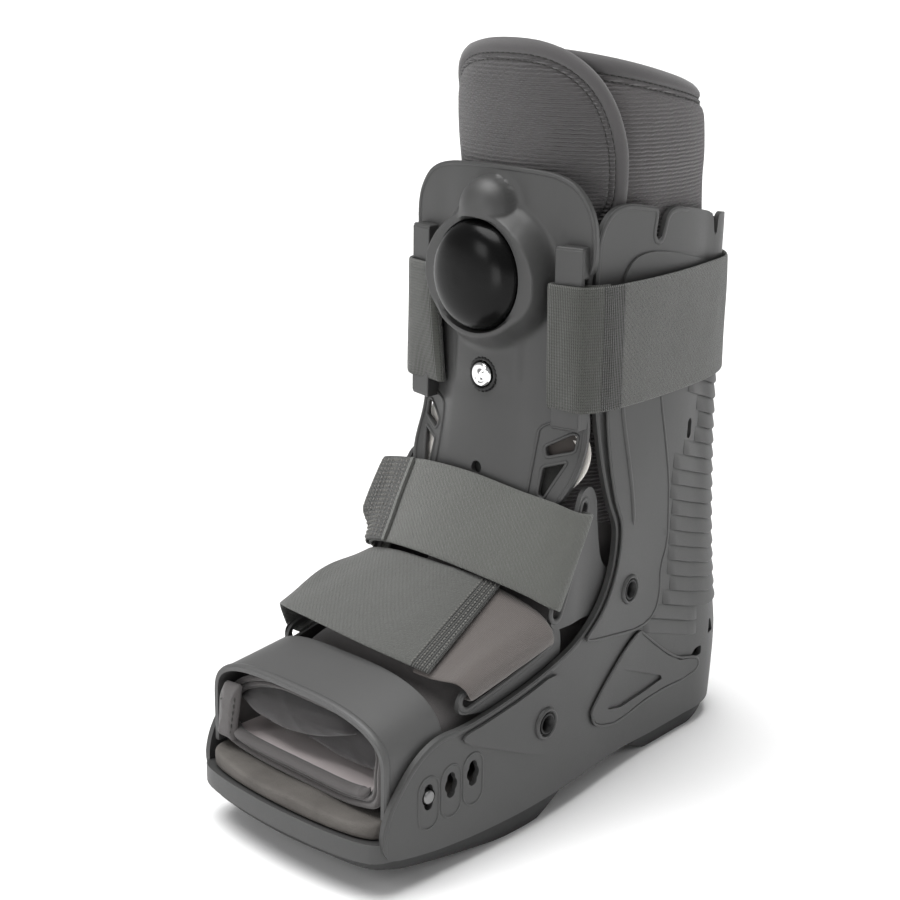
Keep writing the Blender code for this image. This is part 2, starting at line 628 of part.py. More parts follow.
def plan_prism(name, plan, low, high, side, seated=False):
    """An upright block from its plan. A seated one gets its rear side inside the panel's wall."""
    rings = []
    for z in (low, high):
        points = [(x, y) for x, y in plan]
        if seated:
            points += [tuple(panel_point(x, z, -PANEL_WALL / 2))[:2] for x in (plan[1][0] - 1, plan[0][0] + 1)]
        rings.append([in_metres((side * x, y, z)) for x, y in points])
    return add_object(name, capped_solid(rings), GREY_PLASTIC)


def make_panel():
    outline = mirrored([(edge.x, edge.z) for edge in PANEL_EDGE])
    windows = [[(side * edge.x, edge.z) for edge in window] for window in (WINDOW_TOP, WINDOW_LOW) for side in (1, -1)]
    holes = windows + [circle(0, BULB_Z, HOUSING_HOLE, BULB_SIDES), circle(0, VALVE_Z, VALVE_HOLE, 12),
                       circle(0, PANEL_HOLE_Z, PANEL_HOLE_RADIUS, 10)]
    bm = flat_solid(outline, holes, -PANEL_WALL, 0.0, PANEL_COLUMNS, [148, 158, 168, 178, 188, 204, 230, 262, 284])
    plate = add_object("front_panel", bent(bm, panel_point), GREY_PLASTIC)
    extras = [panel_dome(), housing_ring()]
    for side in (1, -1):
        bar = plan_prism("bar", EAR_BAR, EAR_LOW + 1, EAR_HIGH - 1, side)
        foot = plan_prism("foot", EAR_BLOCK, EAR_LOW, EAR_LOW + EAR_BLOCK_HIGH, side, seated=True)
        head = plan_prism("head", EAR_BLOCK, EAR_HIGH - EAR_BLOCK_TOP, EAR_HIGH, side, seated=True)
        extras += [foot, head, bar]
    union(plate, extras)
    bore = [[in_metres((x, y, z)) for x, z in circle(0, BULB_Z, BULB_BORE, BULB_SIDES)] for y in (-40, 12)]
    return union(plate, [add_object("bore", capped_solid(bore), GREY_PLASTIC)], "DIFFERENCE")


def turned(profile, sides, centre_x=0.0, place=panel_point, centre_z=0.0):
    """Rings turned round the surface normal at a place: profile rows are (radius, height)."""
    rings = []
    for radius, height in profile:
        points = circle(centre_x, centre_z, max(radius, 0.01), sides)
        rings.append([in_metres(place(u, v, height)) for u, v in points])
    return rings


def flat_point(base_y):
    """A flat place facing the toe, for round pieces that don't follow the panel's curve."""
    return lambda x, z, n: (x, base_y - n, z)


def make_bulb():
    profile = [(BULB_RADIUS - 1, 0), (BULB_RADIUS, 1), (BULB_RADIUS, 9.5), (23.6, 13.4), (19.4, 16.6), (12.8, 18.9),
               (4.8, 20.1)]
    rings = turned(profile, BULB_SIDES, place=flat_point(BULB_BASE_Y), centre_z=BULB_Z)
    return add_object("pump_bulb", capped_solid(rings), BLACK_RUBBER)


def make_valve():
    face_y = panel_surface(0, VALVE_Z)[1]
    outer = [(8.3, 0.3), (8.3, 1.5), (7.6, 2.1), (6.5, 2.1), (6.5, 0.3)]
    rings = turned(outer, 12, centre_z=VALVE_Z)
    add_object("valve_collar", ring_solid(rings), BLACK_METAL)
    button = [(5.6, -0.9), (VALVE_RADIUS, -0.5), (VALVE_RADIUS, 2.4), (5.4, 3.4), (3.6, 4.1), (1.2, 4.4)]
    rings = turned(button, 12, place=flat_point(MIDDLE_Y))
    made = add_object("valve_button", capped_solid(rings), CHROME)
    made.location = in_metres((0, face_y, VALVE_Z))


def make_cell():
    outline = mirrored([(edge.x, edge.z) for edge in CELL_EDGE])
    high = -PANEL_WALL - CELL_CLEAR
    bm = flat_solid(outline, [], high - CELL_WALL, high, PANEL_COLUMNS, [158, 168, 178, 188, 204])
    return add_object("air_cell", bent(bm, panel_point), OFF_WHITE)


def guard_surface(turn, y):
    """The toe guard's outer face: turn runs from -1 at the left foot to 1 at the right foot."""
    side = math.copysign(1.0, turn)
    crown = 81 + (y - GUARD_FRONT_Y) / 6
    shoulder = 58.0
    foot = 37.0
    along = abs(turn)
    leg_share = 0.3
    if along > 1 - leg_share:
        part = (along - (1 - leg_share)) / leg_share
        return (side * GUARD_HALF, y, shoulder + (foot - shoulder) * part)
    angle = along / (1 - leg_share) * math.pi / 2
    power = 2 / (GUARD_RIGHT_POWER if turn > 0 else GUARD_LEFT_POWER)
    return (side * GUARD_HALF * math.sin(angle) ** power, y,
            shoulder + (crown - shoulder) * math.cos(angle) ** power)


def make_guard():
    bm = flat_solid([(-100, GUARD_FRONT_Y), (100, GUARD_FRONT_Y), (100, GUARD_REAR_Y), (-100, GUARD_REAR_Y)], [],
                    -GUARD_WALL, 0.0, steps(-94, 94, 18), [-110])

    def surface(turn, y):
        return guard_surface(turn / 100, y)

    return add_object("toe_guard", bent(bm, lambda u, v, n: offset_point(surface, u, v, n)), GREY_PLASTIC)


def side_place(side, lift=0.0):
    """Place on the shell's side, in the shell's own y and z, for the right (1) or left (-1) side."""
    return lambda y, z, n: shell_point(side * shell_run(y), z, n + lift)


def make_rivets():
    profile = [(5.6, 0.4), (5.6, 0.9), (4.6, 1.6), (3.0, 1.6), (2.2, 1.0), (2.2, -6.2), (3.1, -6.2), (3.1, 0.4)]
    for rivet, word in ((INSTEP_RIVET, "instep"), (ANKLE_RIVET, "ankle")):
        for side, hand in ((1, "right"), (-1, "left")):
            place = side_place(side)
            rings = turned(profile, 8, centre_x=rivet.y, place=place, centre_z=rivet.z)
            add_object(f"rivet_{word}_{hand}", ring_solid(rings), BLACK_METAL)


def make_plates():
    """The slotted strap plates inside the shell's edge, two on each side."""
    high = -SHELL_WALL - PLATE_CLEAR
    for word, plate, ends, rivet in (("ankle", ANKLE_PLATE, ANKLE_SLOT, ANKLE_RIVET),
                                     ("instep", INSTEP_PLATE, INSTEP_SLOT, INSTEP_RIVET)):
        for side, hand in ((1, "right"), (-1, "left")):
            holes = [slot(ends[0], ends[1], PLATE_SLOT_HALF), circle(rivet.y, rivet.z, PLATE_RIVET_HOLE, 10)]
            cuts = [row[0] for row in ANKLE_PLATE_X[1:-1]] if word == "ankle" else [-60, -40, -20]
            bm = flat_solid(plate, holes, -LOOP_WALL, 0.0, cuts, [])

            def place(y, z, n, side=side, word=word):
                if word == "ankle":
                    return (side * (ramp(ANKLE_PLATE_X, y) + n), y, z)
                return shell_point(side * shell_run(y), z, high + n)

            add_object(f"{word}_loop_{hand}", bent(bm, place), GREY_PLASTIC)


def band(name, rows, look, wall, across=2, smoothing=2):
    """A strap through rows of (front point, rear point), with the wall below its outer face."""
    count = (len(rows) - 1) * smoothing
    stations = []
    for i in range(count + 1):
        at = i / smoothing
        values = []
        for column in range(6):
            table = [(k, row[column]) for k, row in enumerate(rows)]
            values.append(smooth(table, at))
        stations.append(StrapRow(*values))
    grid = []
    for row in stations:
        front = Vector((row.front_x, row.front_y, row.front_z))
        rear = Vector((row.rear_x, row.rear_y, row.rear_z))
        grid.append([front.lerp(rear, j / across) for j in range(across + 1)])
    bm = bmesh.new()
    outer = []
    inner = []
    for i, line in enumerate(grid):
        ahead = grid[min(i + 1, count)]
        behind = grid[max(i - 1, 0)]
        outer.append([])
        inner.append([])
        for j, point in enumerate(line):
            along = ahead[j] - behind[j]
            normal = along.cross(line[-1] - line[0]).normalized()
            outer[-1].append(bm.verts.new(in_metres(point)))
            inner[-1].append(bm.verts.new(in_metres(point - normal * wall)))
    for i in range(count):
        for j in range(across):
            bm.faces.new((outer[i][j], outer[i + 1][j], outer[i + 1][j + 1], outer[i][j + 1]))
            bm.faces.new((inner[i][j], inner[i][j + 1], inner[i + 1][j + 1], inner[i + 1][j]))
        for j in (0, across):
            bm.faces.new((outer[i][j], inner[i][j], inner[i + 1][j], outer[i + 1][j]))
    for i in (0, count):
        for j in range(across):
            bm.faces.new((outer[i][j], outer[i][j + 1], inner[i][j + 1], inner[i][j]))
    return add_object(name, bm, look)


def make_calf_strap():
    right = [Vector((x, y, 0)) for x, y in CALF_STRAP_PLAN]
    path = right + [Vector((-point.x, point.y, 0)) for point in reversed(right[:-1])]
    count = len(path) - 1
    outer = []
    inner = []
    for i, point in enumerate(path):
        along = path[min(i + 1, count)] - path[max(i - 1, 0)]
        across = Vector((along.y, -along.x, 0)).normalized()
        outer.append(point + across * STRAP_WALL / 2)
        inner.append(point - across * STRAP_WALL / 2)
    plan = outer + inner[::-1]
    rings = [[in_metres((point.x, point.y, z)) for point in plan] for z in (CALF_STRAP_LOW, CALF_STRAP_HIGH)]
    bm = bmesh.new()
    rows = [[bm.verts.new(point) for point in ring] for ring in rings]
    total = len(plan)
    for row, after in zip(rows, rows[1:]):
        for i in range(total):
            bm.faces.new((row[i - 1], row[i], after[i], after[i - 1]))
    for row in (rows[0], rows[-1]):
        for i in range(count):
            bm.faces.new((row[i], row[i + 1], row[total - 2 - i], row[total - 1 - i]))
    return add_object("calf_strap", bm, WEBBING)


def make_studs():
    profile = [(3.1, -3.0), (3.1, 0.0), (2.4, 0.8), (1.0, 1.0)]
    for side, hand in ((1, "right"), (-1, "left")):
        centre = TOE_SLOTS[0]
        rings = turned(profile, 10, centre_x=centre.y, place=side_place(side), centre_z=centre.z)
        add_object(f"toe_stud_{hand}", capped_solid(rings), LIGHT_METAL)


def main():
    clear_scene()
    make_shell()
    make_tread("outsole_forefoot", -143, -8, FOREFOOT_LOW, FOREFOOT_TOP,
               [-132, -125, -116, -97, -95, -70, -50, -24])
    make_tread("outsole_heel", 52, 146, HEEL_LOW, ((0, 9.2), (150, 9.2)), [58, 74, 113, 127, 140])
    make_insole()
    make_liner()
    make_flap()
    make_panel()
    make_cell()
    make_bulb()
    make_valve()
    make_guard()
    make_studs()
    make_plates()
    make_rivets()
    make_calf_strap()
    band("ankle_strap", ANKLE_STRAP, WEBBING, STRAP_WALL)
    band("instep_strap", INSTEP_STRAP, WEBBING, STRAP_WALL)
    band("instep_strap_tab", INSTEP_TAB, TAB_FABRIC, STRAP_WALL)


main()
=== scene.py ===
"""Looks of the medical walking boot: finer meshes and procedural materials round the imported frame.

Sizes in the tables are millimetres, in the same table coordinates as the part's own source: the toe points
to -Y, and the middle of the boot's length is at y = MIDDLE_Y.
"""
import math
from collections import namedtuple

import bmesh
import bpy
import numpy as np
from mathutils import Matrix, Vector


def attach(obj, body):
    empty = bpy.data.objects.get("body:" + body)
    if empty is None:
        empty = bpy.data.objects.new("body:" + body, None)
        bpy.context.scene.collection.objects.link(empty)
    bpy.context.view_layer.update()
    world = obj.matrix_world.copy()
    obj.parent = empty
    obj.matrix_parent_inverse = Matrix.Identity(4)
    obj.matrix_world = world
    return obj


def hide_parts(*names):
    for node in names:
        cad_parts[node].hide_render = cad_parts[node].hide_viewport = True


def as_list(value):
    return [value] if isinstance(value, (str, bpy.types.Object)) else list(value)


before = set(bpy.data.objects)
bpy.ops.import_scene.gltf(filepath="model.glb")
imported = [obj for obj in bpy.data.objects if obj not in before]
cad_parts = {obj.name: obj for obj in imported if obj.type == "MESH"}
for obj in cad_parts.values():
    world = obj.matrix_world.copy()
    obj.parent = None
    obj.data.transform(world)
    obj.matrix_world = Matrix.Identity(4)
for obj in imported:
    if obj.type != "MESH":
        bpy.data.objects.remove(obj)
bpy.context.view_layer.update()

MM = 0.001
MIDDLE_Y = 5.4
BOOT = "boot"
VALVE = "valve"
HANDS = ((1, "right"), (-1, "left"))
# Slot names for these materials, which differ from their own names; finish_piece looks them up but keeps no
# slot
SLOTS = {"shaded_panel_plastic": "grey_plastic", "lit_guard_plastic": "grey_plastic", "thread": "knit",
         "toe_jersey": "knit", "shaded_jersey": "knit", "flap_cloth": "knit", "pale_thread": "webbing",
         "loop_fabric": "webbing", "shaded_loop_fabric": "webbing"}

# The shell
SHELL_WALL = 2.6
SIDE_END_Y = 105.0
CORNER_RUN = 70.0
CORNER_POWER = 2.6
SHELL_HALF_LOW = ((-135, 60.6), (-125, 61.3), (-110, 61.8), (-95, 62.0), (-40, 61.5), (0, 57.5),
                  (34, 52.0), (58, 48.6), (85, 46.0), (105, 44.5))
SHELL_HALF_HIGH = ((-135, 56.0), (9, 52.0), (60, 51.8), (85, 49.8), (105, 44.9))
SHELL_BACK = ((5, 150), (35, 154), (52, 154), (75, 148), (100, 142.8), (129, 138.6), (173, 134.4), (230, 135),
              (270, 136.8))
BLEND_LOW_Z = 100.0
BLEND_HIGH_Z = 190.0
SHELL_SIDE_EDGE = (
    (104, 9.5), (75, 9.5), (60, 10.5), (34, 12), (-10, 12), (-70, 12), (-97, 13.8), (-116, 16.5),
    (-127, 18.5), (-131, 23), (-132, 31), (-130, 39), (-126, 46.5), (-116, 58.5), (-107, 65), (-97, 68.5),
    (-84, 67.8), (-70, 69.5), (-44, 74), (-7, 82), (6, 88), (17, 95), (25, 104), (29.5, 114), (31.5, 125),
    (31, 134), (27, 141), (23.5, 148), (18.5, 164), (13.5, 189), (9.6, 215), (9.6, 268), (12.5, 278),
    (19, 285.5), (29, 288), (40, 287), (50, 285), (55.5, 283.5), (52.8, 271.5), (54, 269), (57, 269),
    (58.2, 271.5), (62.5, 284), (80, 282), (100, 278))
SHELL_BACK_TOP = ((68, 276.5), (67, 266), (65.4, 263.5), (63.8, 266), (63.2, 276), (50, 275), (28, 270),
                  (0, 267))
SHELL_BACK_LOW = ((0, 13), (20, 12), (45, 10))
TOE_SLOTS = ((-105, 42), (-91, 43), (-77, 44))
SLOT_HALF_WIDTH = 2.6
SLOT_HALF_HEIGHT = 6.2
SLOT_EYE = 3.9
VENT = (92.6, 169.6)
CORNER_HOLES = (((48, 48.5), (55, 48.5), (53.5, 56.5), (51.5, 56.5)),
                ((61.5, 39.5), (69.5, 39.5), (66, 44.5), (61.5, 44.5)))
INSTEP_RIVET = (-28.4, 52.5)
ANKLE_RIVET = (43.4, 97.7)
RIB_PITCH = 8.1
RIB_RISE = 1.3
RIB_PROFILE = ((0.0, -0.7), (0.1, 0.8), (0.45, 1.0), (0.9, 1.0), (3.2, 0.72), (5.6, 0.42), (7.6, 0.14),
               (7.95, 0.0), (7.95, -0.7))
RIB_LOW = 66.5
RIB_HIGH = 196.0
RIB_FRONTS = ((38, 52), (58, 60), (66, 68), (78, 84), (88, 80.5), (114, 79.5), (150, 80), (160, 98.5),
              (180, 98.5), (188, 84), (206, 78))
LOW_RIBS = (50.3, 58.4)

# The sole
FLOOR_TOP = ((-143, 29), (-125, 26.5), (-100, 24), (-60, 22), (146, 21))
FLOOR_LOW = ((-143, 19.2), (-130, 18.4), (-116, 16.6), (-97, 14), (-70, 12.2), (146, 12.2))
TOE_HALF = 60.2
TOE_OUTLINE = ((TOE_HALF, -127), (59, -132), (55, -136.2), (46, -139.4), (30, -142), (12, -143.2),
               (0, -143.4))
FOREFOOT_LOW = ((-139, 16.2), (-125, 11.5), (-95, 6), (-70, 2.4), (-50, 0), (-24, 0), (-8, 8))
HEEL_LOW = ((52, 9), (58, 6.5), (74, 0), (113, 0), (127, 3), (146, 7))
FOREFOOT_TOP = ((-139, 18.6), (-127, 17.6), (-116, 15.8), (-97, 13.3), (-70, 11.6), (-8, 11.6))
HEEL_TOP = ((0, 9.2), (150, 9.2))
SOLE_BACK_Y = 151.0
INSOLE_TOP = 36.0

# The bootie: rows of front y, front z, back y, back z, half width, power of its outline, wall
LINER_RINGS = (
    (9, 358, 111, 334, 50, 2.3, 9), (8, 342, 117, 322, 52, 2.3, 10), (7.5, 318, 121, 306, 51.5, 2.3, 10),
    (7.5, 295, 125, 289, 48, 2.3, 10), (7.5, 262, 128, 258, 47.2, 2.3, 10), (6, 195, 129, 185, 46.8, 2.3, 10),
    (1, 165, 130, 140, 45, 2.3, 9), (-5, 142, 132, 105, 43, 2.3, 9), (-15, 126, 136, 72, 42.3, 2.4, 8),
    (-28, 114, 131, 42, 43.0, 2.5, 8), (-43, 106, 98, 36.5, 45.8, 2.6, 8), (-60, 98, 45, 36.3, 49.5, 2.7, 8),
    (-78, 89, -15, 36.3, 52.5, 2.8, 7.5), (-94, 81, -62, 36.3, 53.8, 2.8, 7),
    (-110, 78, -97, 36.3, 54.3, 2.8, 6.5), (-125, 75, -124, 36.3, 54.3, 2.9, 6))
TOE_OPENING_LEAN = 11.0
FLAP_EDGE = (
    (0, 205), (28, 207), (36, 214), (41, 235), (46, 256), (51, 268), (57, 276), (62, 284), (64, 294),
    (62.5, 312), (57, 331), (49, 345), (37, 354.5), (21, 360), (0, 361), (-21, 359.5), (-36, 356), (-48, 350),
    (-58, 340), (-64, 324), (-64, 296), (-62, 284), (-57, 276), (-51, 268), (-46, 256), (-41, 235),
    (-36, 214), (-28, 207))

# The front panel: rows of z, then its front face's y at each of the stations across
PANEL_WALL = 2.5
PANEL_STATIONS = (0, 20, 34, 46, 57)
PANEL_SECTIONS = (
    (136, -15.4, -14.2, -12.0, -10.6, -9.6), (152, -13.0, -11.6, -8.8, -6.8, -5.4),
    (176, -10.6, -8.4, -2.4, 2.6, 5.6), (192, -9.4, -6.6, 0.2, 4.8, 7.4), (205, -7.2, -5.0, 1.0, 4.8, 6.8),
    (250, -7.0, -4.0, 1.2, 3.6, 4.6), (280, -4.6, -2.6, 0.6, 2.2, 3.8), (305, -3.0, -1.7, 0.2, 1.6, 3.4))
PANEL_EDGE = (
    (0, 138), (24, 140), (40, 144), (48, 151), (52, 160), (53.5, 170), (53, 190), (51.5, 196), (51.5, 256),
    (56, 261), (56.5, 276), (55, 285), (51, 292.5), (45, 298.5), (36, 302), (25, 303.3), (0, 304))
WINDOW_TOP = ((34, 175.8), (36, 170.6), (48.6, 174.8), (49, 182.6), (46, 183.2))
WINDOW_LOW = ((35, 166.6), (46.6, 170.4), (39.2, 151.8), (35.4, 153.2))
WINDOW_CORNER = 1.5
WINDOW_FRAME = ((30.5, 149.5), (30.5, 178.5), (31.2, 186.4), (50.5, 189.4))
WINDOW_SIDE = ((46, 150.5), (50.3, 160), (51.8, 170), (51.3, 188))
PANEL_HOLE_Z = 160.3
BULB_Z = 253.5
BULB_RADIUS = 25.6
RIM_Y = -15.0
MOUTH_RADIUS = 26.7
THROAT = ((26.3, 3.0), (26.35, 0.5))
BULB_BASE_Y = -5.0
VALVE_Z = 205.5
# The housing's height as a share of its rim, by the distance from the bulb's middle
HOUSING_SLOPE = ((27.7, 1.0), (28.5, 0.99), (29.1, 0.93), (31.2, 0.62), (33.4, 0.3), (35.0, 0.12),
                 (36.4, 0.03), (38, 0))
DOME_Z = 284.5
DOME_RADIUS = 13.5
DOME_HEIGHT = 13.2
EAR_BAR = ((39.8, -5.4), (54.0, -2.4), (53.6, 0.4), (40.2, -2.6))
EAR_BLOCK = ((40.0, -5.1), (53.8, -2.1))
EAR_LOW = 186.0
EAR_HIGH = 271.0
CELL_EDGE = (
    (0, 144), (30, 146), (43, 152), (51.5, 161), (55.3, 169), (54, 178), (47, 186), (44, 200), (42, 218),
    (24, 221), (0, 222))

# The toe guard, the strap plates and the straps
GUARD_HALF = 57.9
GUARD_WALL = 2.5
GUARD_RIGHT_POWER = 2.7
GUARD_LEFT_POWER = 3.6
GUARD_FRONT_Y = -128.0
GUARD_REAR_Y = -92.0
GUARD_CROWN = 81
GUARD_SHOULDER = 58.0
GUARD_FOOT = 37.0
GUARD_LEG_SHARE = 30.0
LOOP_WALL = 2.4
PLATE_CLEAR = 0.8
ANKLE_PLATE = ((-24.5, 101), (-22.5, 96.8), (-16, 94.8), (6, 94.5), (30, 87), (51, 93), (52, 102), (44, 108),
               (24, 112), (18.5, 136), (18, 150), (12, 157.5), (3, 158.5), (-3, 153))
ANKLE_SLOT = ((3.5, 149), (-19.5, 104))
ANKLE_PLATE_X = ((-28, 60.2), (-5, 57.6), (0, 56.2), (5, 54.6), (12, 52.3), (17, 51.1), (30, 48.9),
                 (36, 47.8), (43, 46.7), (52, 45.2))
INSTEP_PLATE = ((-84, 74), (-80, 71.5), (-48, 67), (-37, 48), (-28, 43.5), (-18, 47), (-10, 84), (-13, 97),
                (-19, 97.2), (-77, 84.2), (-83, 80.5))
INSTEP_SLOT = ((-78, 78.0), (-22, 90.6))
PLATE_SLOT_HALF = 2.8
STRAP_WALL = 1.6
CALF_STRAP_LOW = 195.5
CALF_STRAP_HIGH = 254.0
# Rows of a strap: x, y, z of its front edge, then of its rear edge
ANKLE_STRAP = (
    (-54.0, -18.2, 104.6, -54.0, 3.6, 147.4), (-58.6, -18.5, 104.8, -58.6, 3.4, 147.6),
    (-62.4, -20.4, 106.4, -62.4, 1.6, 148.6), (-62.6, -23.6, 108.6, -62.6, -1.4, 150.0),
    (-58, -27.5, 112.4, -58, -6.2, 152.0), (-48, -32.5, 116.4, -48, -11.8, 155.0),
    (-30, -36.0, 119.5, -30, -14.8, 158.3), (0, -37.0, 119.8, 0, -15.8, 159.0),
    (30, -34.0, 116.5, 30, -13.6, 155.6), (48, -30.2, 112.9, 48, -10.8, 153.4),
    (58, -27.2, 109.6, 58, -6.8, 150.4), (62.6, -23.8, 107.6, 62.6, -2.2, 149.0),
    (62.4, -20.4, 105.6, 62.4, 1.6, 147.8), (58.6, -18.5, 104.6, 58.6, 3.4, 147.4),
    (54.0, -18.2, 104.4, 54.0, 3.6, 147.2))
INSTEP_STRAP = (
    (-55.0, -77.0, 77.4, -55.0, -22.4, 89.6), (-58.6, -77.4, 77.6, -58.6, -22.4, 89.8),
    (-62.2, -79.0, 79.6, -62.2, -22.8, 92.2), (-63.0, -81.4, 86.0, -63.0, -23.4, 97.5),
    (-62.0, -84.0, 91.8, -62.0, -26.0, 104.0), (-57.5, -87.4, 95.2, -57.5, -28.6, 109.0),
    (-48, -90.4, 96.4, -48, -31.2, 113.0), (-28, -92.8, 96.8, -28, -34.0, 116.6),
    (0, -94.0, 95.8, 0, -35.0, 117.6), (22, -92.4, 93.8, 14, -33.6, 117.0),
    (44, -88.2, 90.4, 33, -29.4, 114.4))
INSTEP_TAB = (
    (35, -88.6, 88.6, 22, -30.6, 113.4), (43, -87.0, 87.6, 32, -28.8, 111.8),
    (50, -85.6, 87.9, 43, -27.2, 109.2), (57, -84.2, 88.4, 55, -26.0, 105.0),
    (61.4, -82.0, 85.4, 61.6, -25.2, 99.4), (62.9, -80.4, 81.6, 63, -24.4, 94.6),
    (61.8, -78.4, 79.0, 61.8, -23.0, 91.2), (58.6, -77.4, 77.6, 58.6, -22.4, 89.8),
    (55.0, -77.0, 77.4, 55.0, -22.4, 89.6))
CALF_STRAP_PLAN = ((58.0, 13.0), (54.6, 4.2), (47.0, 0.9), (41.0, -0.6), (38.4, -1.8), (37.6, -4.2),
                   (38.6, -6.6), (46.0, -6.0), (54.6, -3.9), (58.6, 1.0), (60.8, 8.0), (61.4, 16.0),
                   (61.0, 40.0), (57.8, 72.0), (53.8, 96.0), (49.4, 111.0), (42.6, 123.8), (31.5, 133.4),
                   (16.0, 138.8), (0.0, 140.4))
# Where the calf strap is sewn, by the place in its plan
CALF_BLOCK = (9.7, 11.1)

# Relief on the shell's side, as outlines in y and z
PAD_RELIEF = ((2, 84.2), (29.1, 78.8), (55.4, 74.1), (68.5, 77.8), (72.3, 88.4), (71.2, 101), (77.1, 113.9),
              (75, 130), (72.4, 147.1), (65.5, 169.4), (59.6, 189.7), (56, 215), (19, 215), (20.5, 189.5),
              (24, 165), (28, 149), (31, 142), (34.8, 135), (35.3, 125), (33, 113), (28, 102.5), (19.6, 92.4),
              (8, 85.6))
PAD_RIDGE = ((29.9, 214), (29.9, 194.9), (33, 180.6), (38.3, 159.8), (42.2, 143.7), (44.1, 130.9))
TOE_RELIEF = ((-85.1, 61.3), (-59.3, 49.8), (-30.8, 36.8), (-21, 38.5), (-15, 46), (-13, 58), (-14, 70),
              (-22, 75.5), (-44, 70.8), (-70, 66.4), (-84, 64.6))
HEEL_RELIEF = ((55.4, 72.5), (12.3, 44.6), (13.6, 40.1), (16.6, 35.9), (22.8, 33.1), (37.6, 29.0), (74, 33.1),
               (110, 30.9), (110, 40), (92, 44), (62, 66))
HEEL_RECESS = ((26.6, 39.3), (40.8, 35.6), (62.9, 36.2), (80.1, 37.9), (79.1, 39.9), (43.1, 55.1))
PAD_RISE = 1.9
TOP_RELIEF = ((28.6, 226), (28.6, 252), (33, 259.5), (40.9, 263.8), (55.9, 264), (80, 259), (105, 252))


def through(places, values, at):
    """Cubic curve through values at places. Values have a row of their own for each point, or one for all."""
    at = np.clip(at, places[0], places[-1])
    last = len(places) - 1
    i = np.clip(np.searchsorted(places, at) - 1, 0, last - 1)
    before = np.maximum(i - 1, 0)
    after = np.minimum(i + 2, last)

    def pick(k):
        return values[k] if values.ndim == 1 else np.take_along_axis(values, k[:, None], 1)[:, 0]

    span = places[i + 1] - places[i]
    t = (at - places[i]) / span
    slope_a = (pick(i + 1) - pick(before)) / (places[i + 1] - places[before])
    slope_b = (pick(after) - pick(i)) / (places[after] - places[i])
    return (pick(i) * (1 + 2 * t) * (1 - t) ** 2 + span * slope_a * t * (1 - t) ** 2
            + pick(i + 1) * (3 - 2 * t) * t * t - span * slope_b * t * t * (1 - t))


def curve(table, at):
    """Smooth value of a table of (place, value) rows."""
    places, values = np.array(table, float).T
    return through(places, values, np.asarray(at, float))


def ramp(table, at):
    places, values = np.array(table, float).T
    return np.interp(at, places, values)


def ease(low, high, t):
    t = np.clip(t, 0, 1)
    return low + (high - low) * t * t * (3 - 2 * t)


def signed_power(value, power):
    return np.sign(value) * np.abs(value) ** power


def stack(x, y, z):
    return np.stack(np.broadcast_arrays(x, y, z), -1).astype(float)


def unit(vectors):
    return vectors / np.maximum(np.linalg.norm(vectors, axis=-1, keepdims=True), 1e-9)


def run_of(points):
    """The way from a path's first point to each of its points."""
    return np.concatenate([[0], np.cumsum(np.linalg.norm(np.diff(points, axis=0), axis=1))])


def in_metres(points):
    return (np.asarray(points, float) - (0, MIDDLE_Y, 0)) * MM


def offset(surface, u, v, n, step=0.5):
    """Points n away from a surface, along its outward normal."""
    along_u = surface(u + step, v) - surface(u - step, v)
    along_v = surface(u, v + step) - surface(u, v - step)
    return surface(u, v) + unit(np.cross(along_u, along_v)) * np.asarray(n)[..., None]


def normal_place(surface, step=0.5):
    """The place of a point n outside a surface at u and v."""
    return lambda u, v, n: offset(surface, u, v, n, step)


def resampled(points, pitch, closed=False, ease_corners=2):
    """A path with its corners cut round and its points about pitch apart."""
    path = np.array(points, float)
    for _ in range(ease_corners):
        ahead = np.roll(path, -1, 0)
        cut = np.stack([path * 0.75 + ahead * 0.25, path * 0.25 + ahead * 0.75], 1).reshape(-1, path.shape[1])
        path = cut if closed else np.concatenate([path[:1], cut[1:-2], path[-1:]])
    if closed:
        path = np.concatenate([path, path[:1]])
    run = run_of(path)
    count = max(int(run[-1] / pitch), 3)
    at = np.linspace(0, run[-1], count + 1)[:count if closed else count + 1]
    return np.stack([np.interp(at, run, path[:, k]) for k in range(path.shape[1])], 1)


def mirrored(half):
    return list(half) + [(-u, v) for u, v in reversed(half[1:-1])]


def rounded(points, radius, pitch=0.8):
    """A closed outline with straight sides and round corners."""
    path = np.array(points, float)
    made = []
    for i, corner in enumerate(path):
        before = path[i - 1] - corner
        after = path[(i + 1) % len(path)] - corner
        room = min(radius, 0.45 * np.linalg.norm(before), 0.45 * np.linalg.norm(after))
        start = corner + unit(before) * room
        end = corner + unit(after) * room
        for t in np.linspace(0, 1, 6):
            made.append(start * (1 - t) ** 2 + corner * 2 * t * (1 - t) + end * t * t)
    return resampled(made, pitch, True, 0)


def moved_across(outline, amount):
    """A closed outline moved to its right-hand side as it runs, by amount."""
    path = np.array(outline, float)
    along = np.roll(path, -1, 0) - np.roll(path, 1, 0)
    return path + unit(np.stack([along[:, 1], -along[:, 0]], 1)) * amount


def circle(u, v, radius, sides):
    turn = np.arange(sides) * 2 * math.pi / sides
    return np.stack([u + radius * np.cos(turn), v + radius * np.sin(turn)], 1)


def slot_outline(start, end, half_width, arc=12):
    """A slot with round ends."""
    start = np.array(start, float)
    end = np.array(end, float)
    heading = math.atan2(*(end - start)[::-1])
    turns = np.linspace(-math.pi / 2, math.pi / 2, arc + 1)
    return np.concatenate([centre + half_width * np.stack([np.cos(first + turns), np.sin(first + turns)], 1)
                           for centre, first in ((end, heading), (start, heading + math.pi))])


# Surfaces

def shell_half(y, z):
    t = (z - BLEND_LOW_Z) / (BLEND_HIGH_Z - BLEND_LOW_Z)
    return ease(curve(SHELL_HALF_LOW, y), curve(SHELL_HALF_HIGH, y), t)


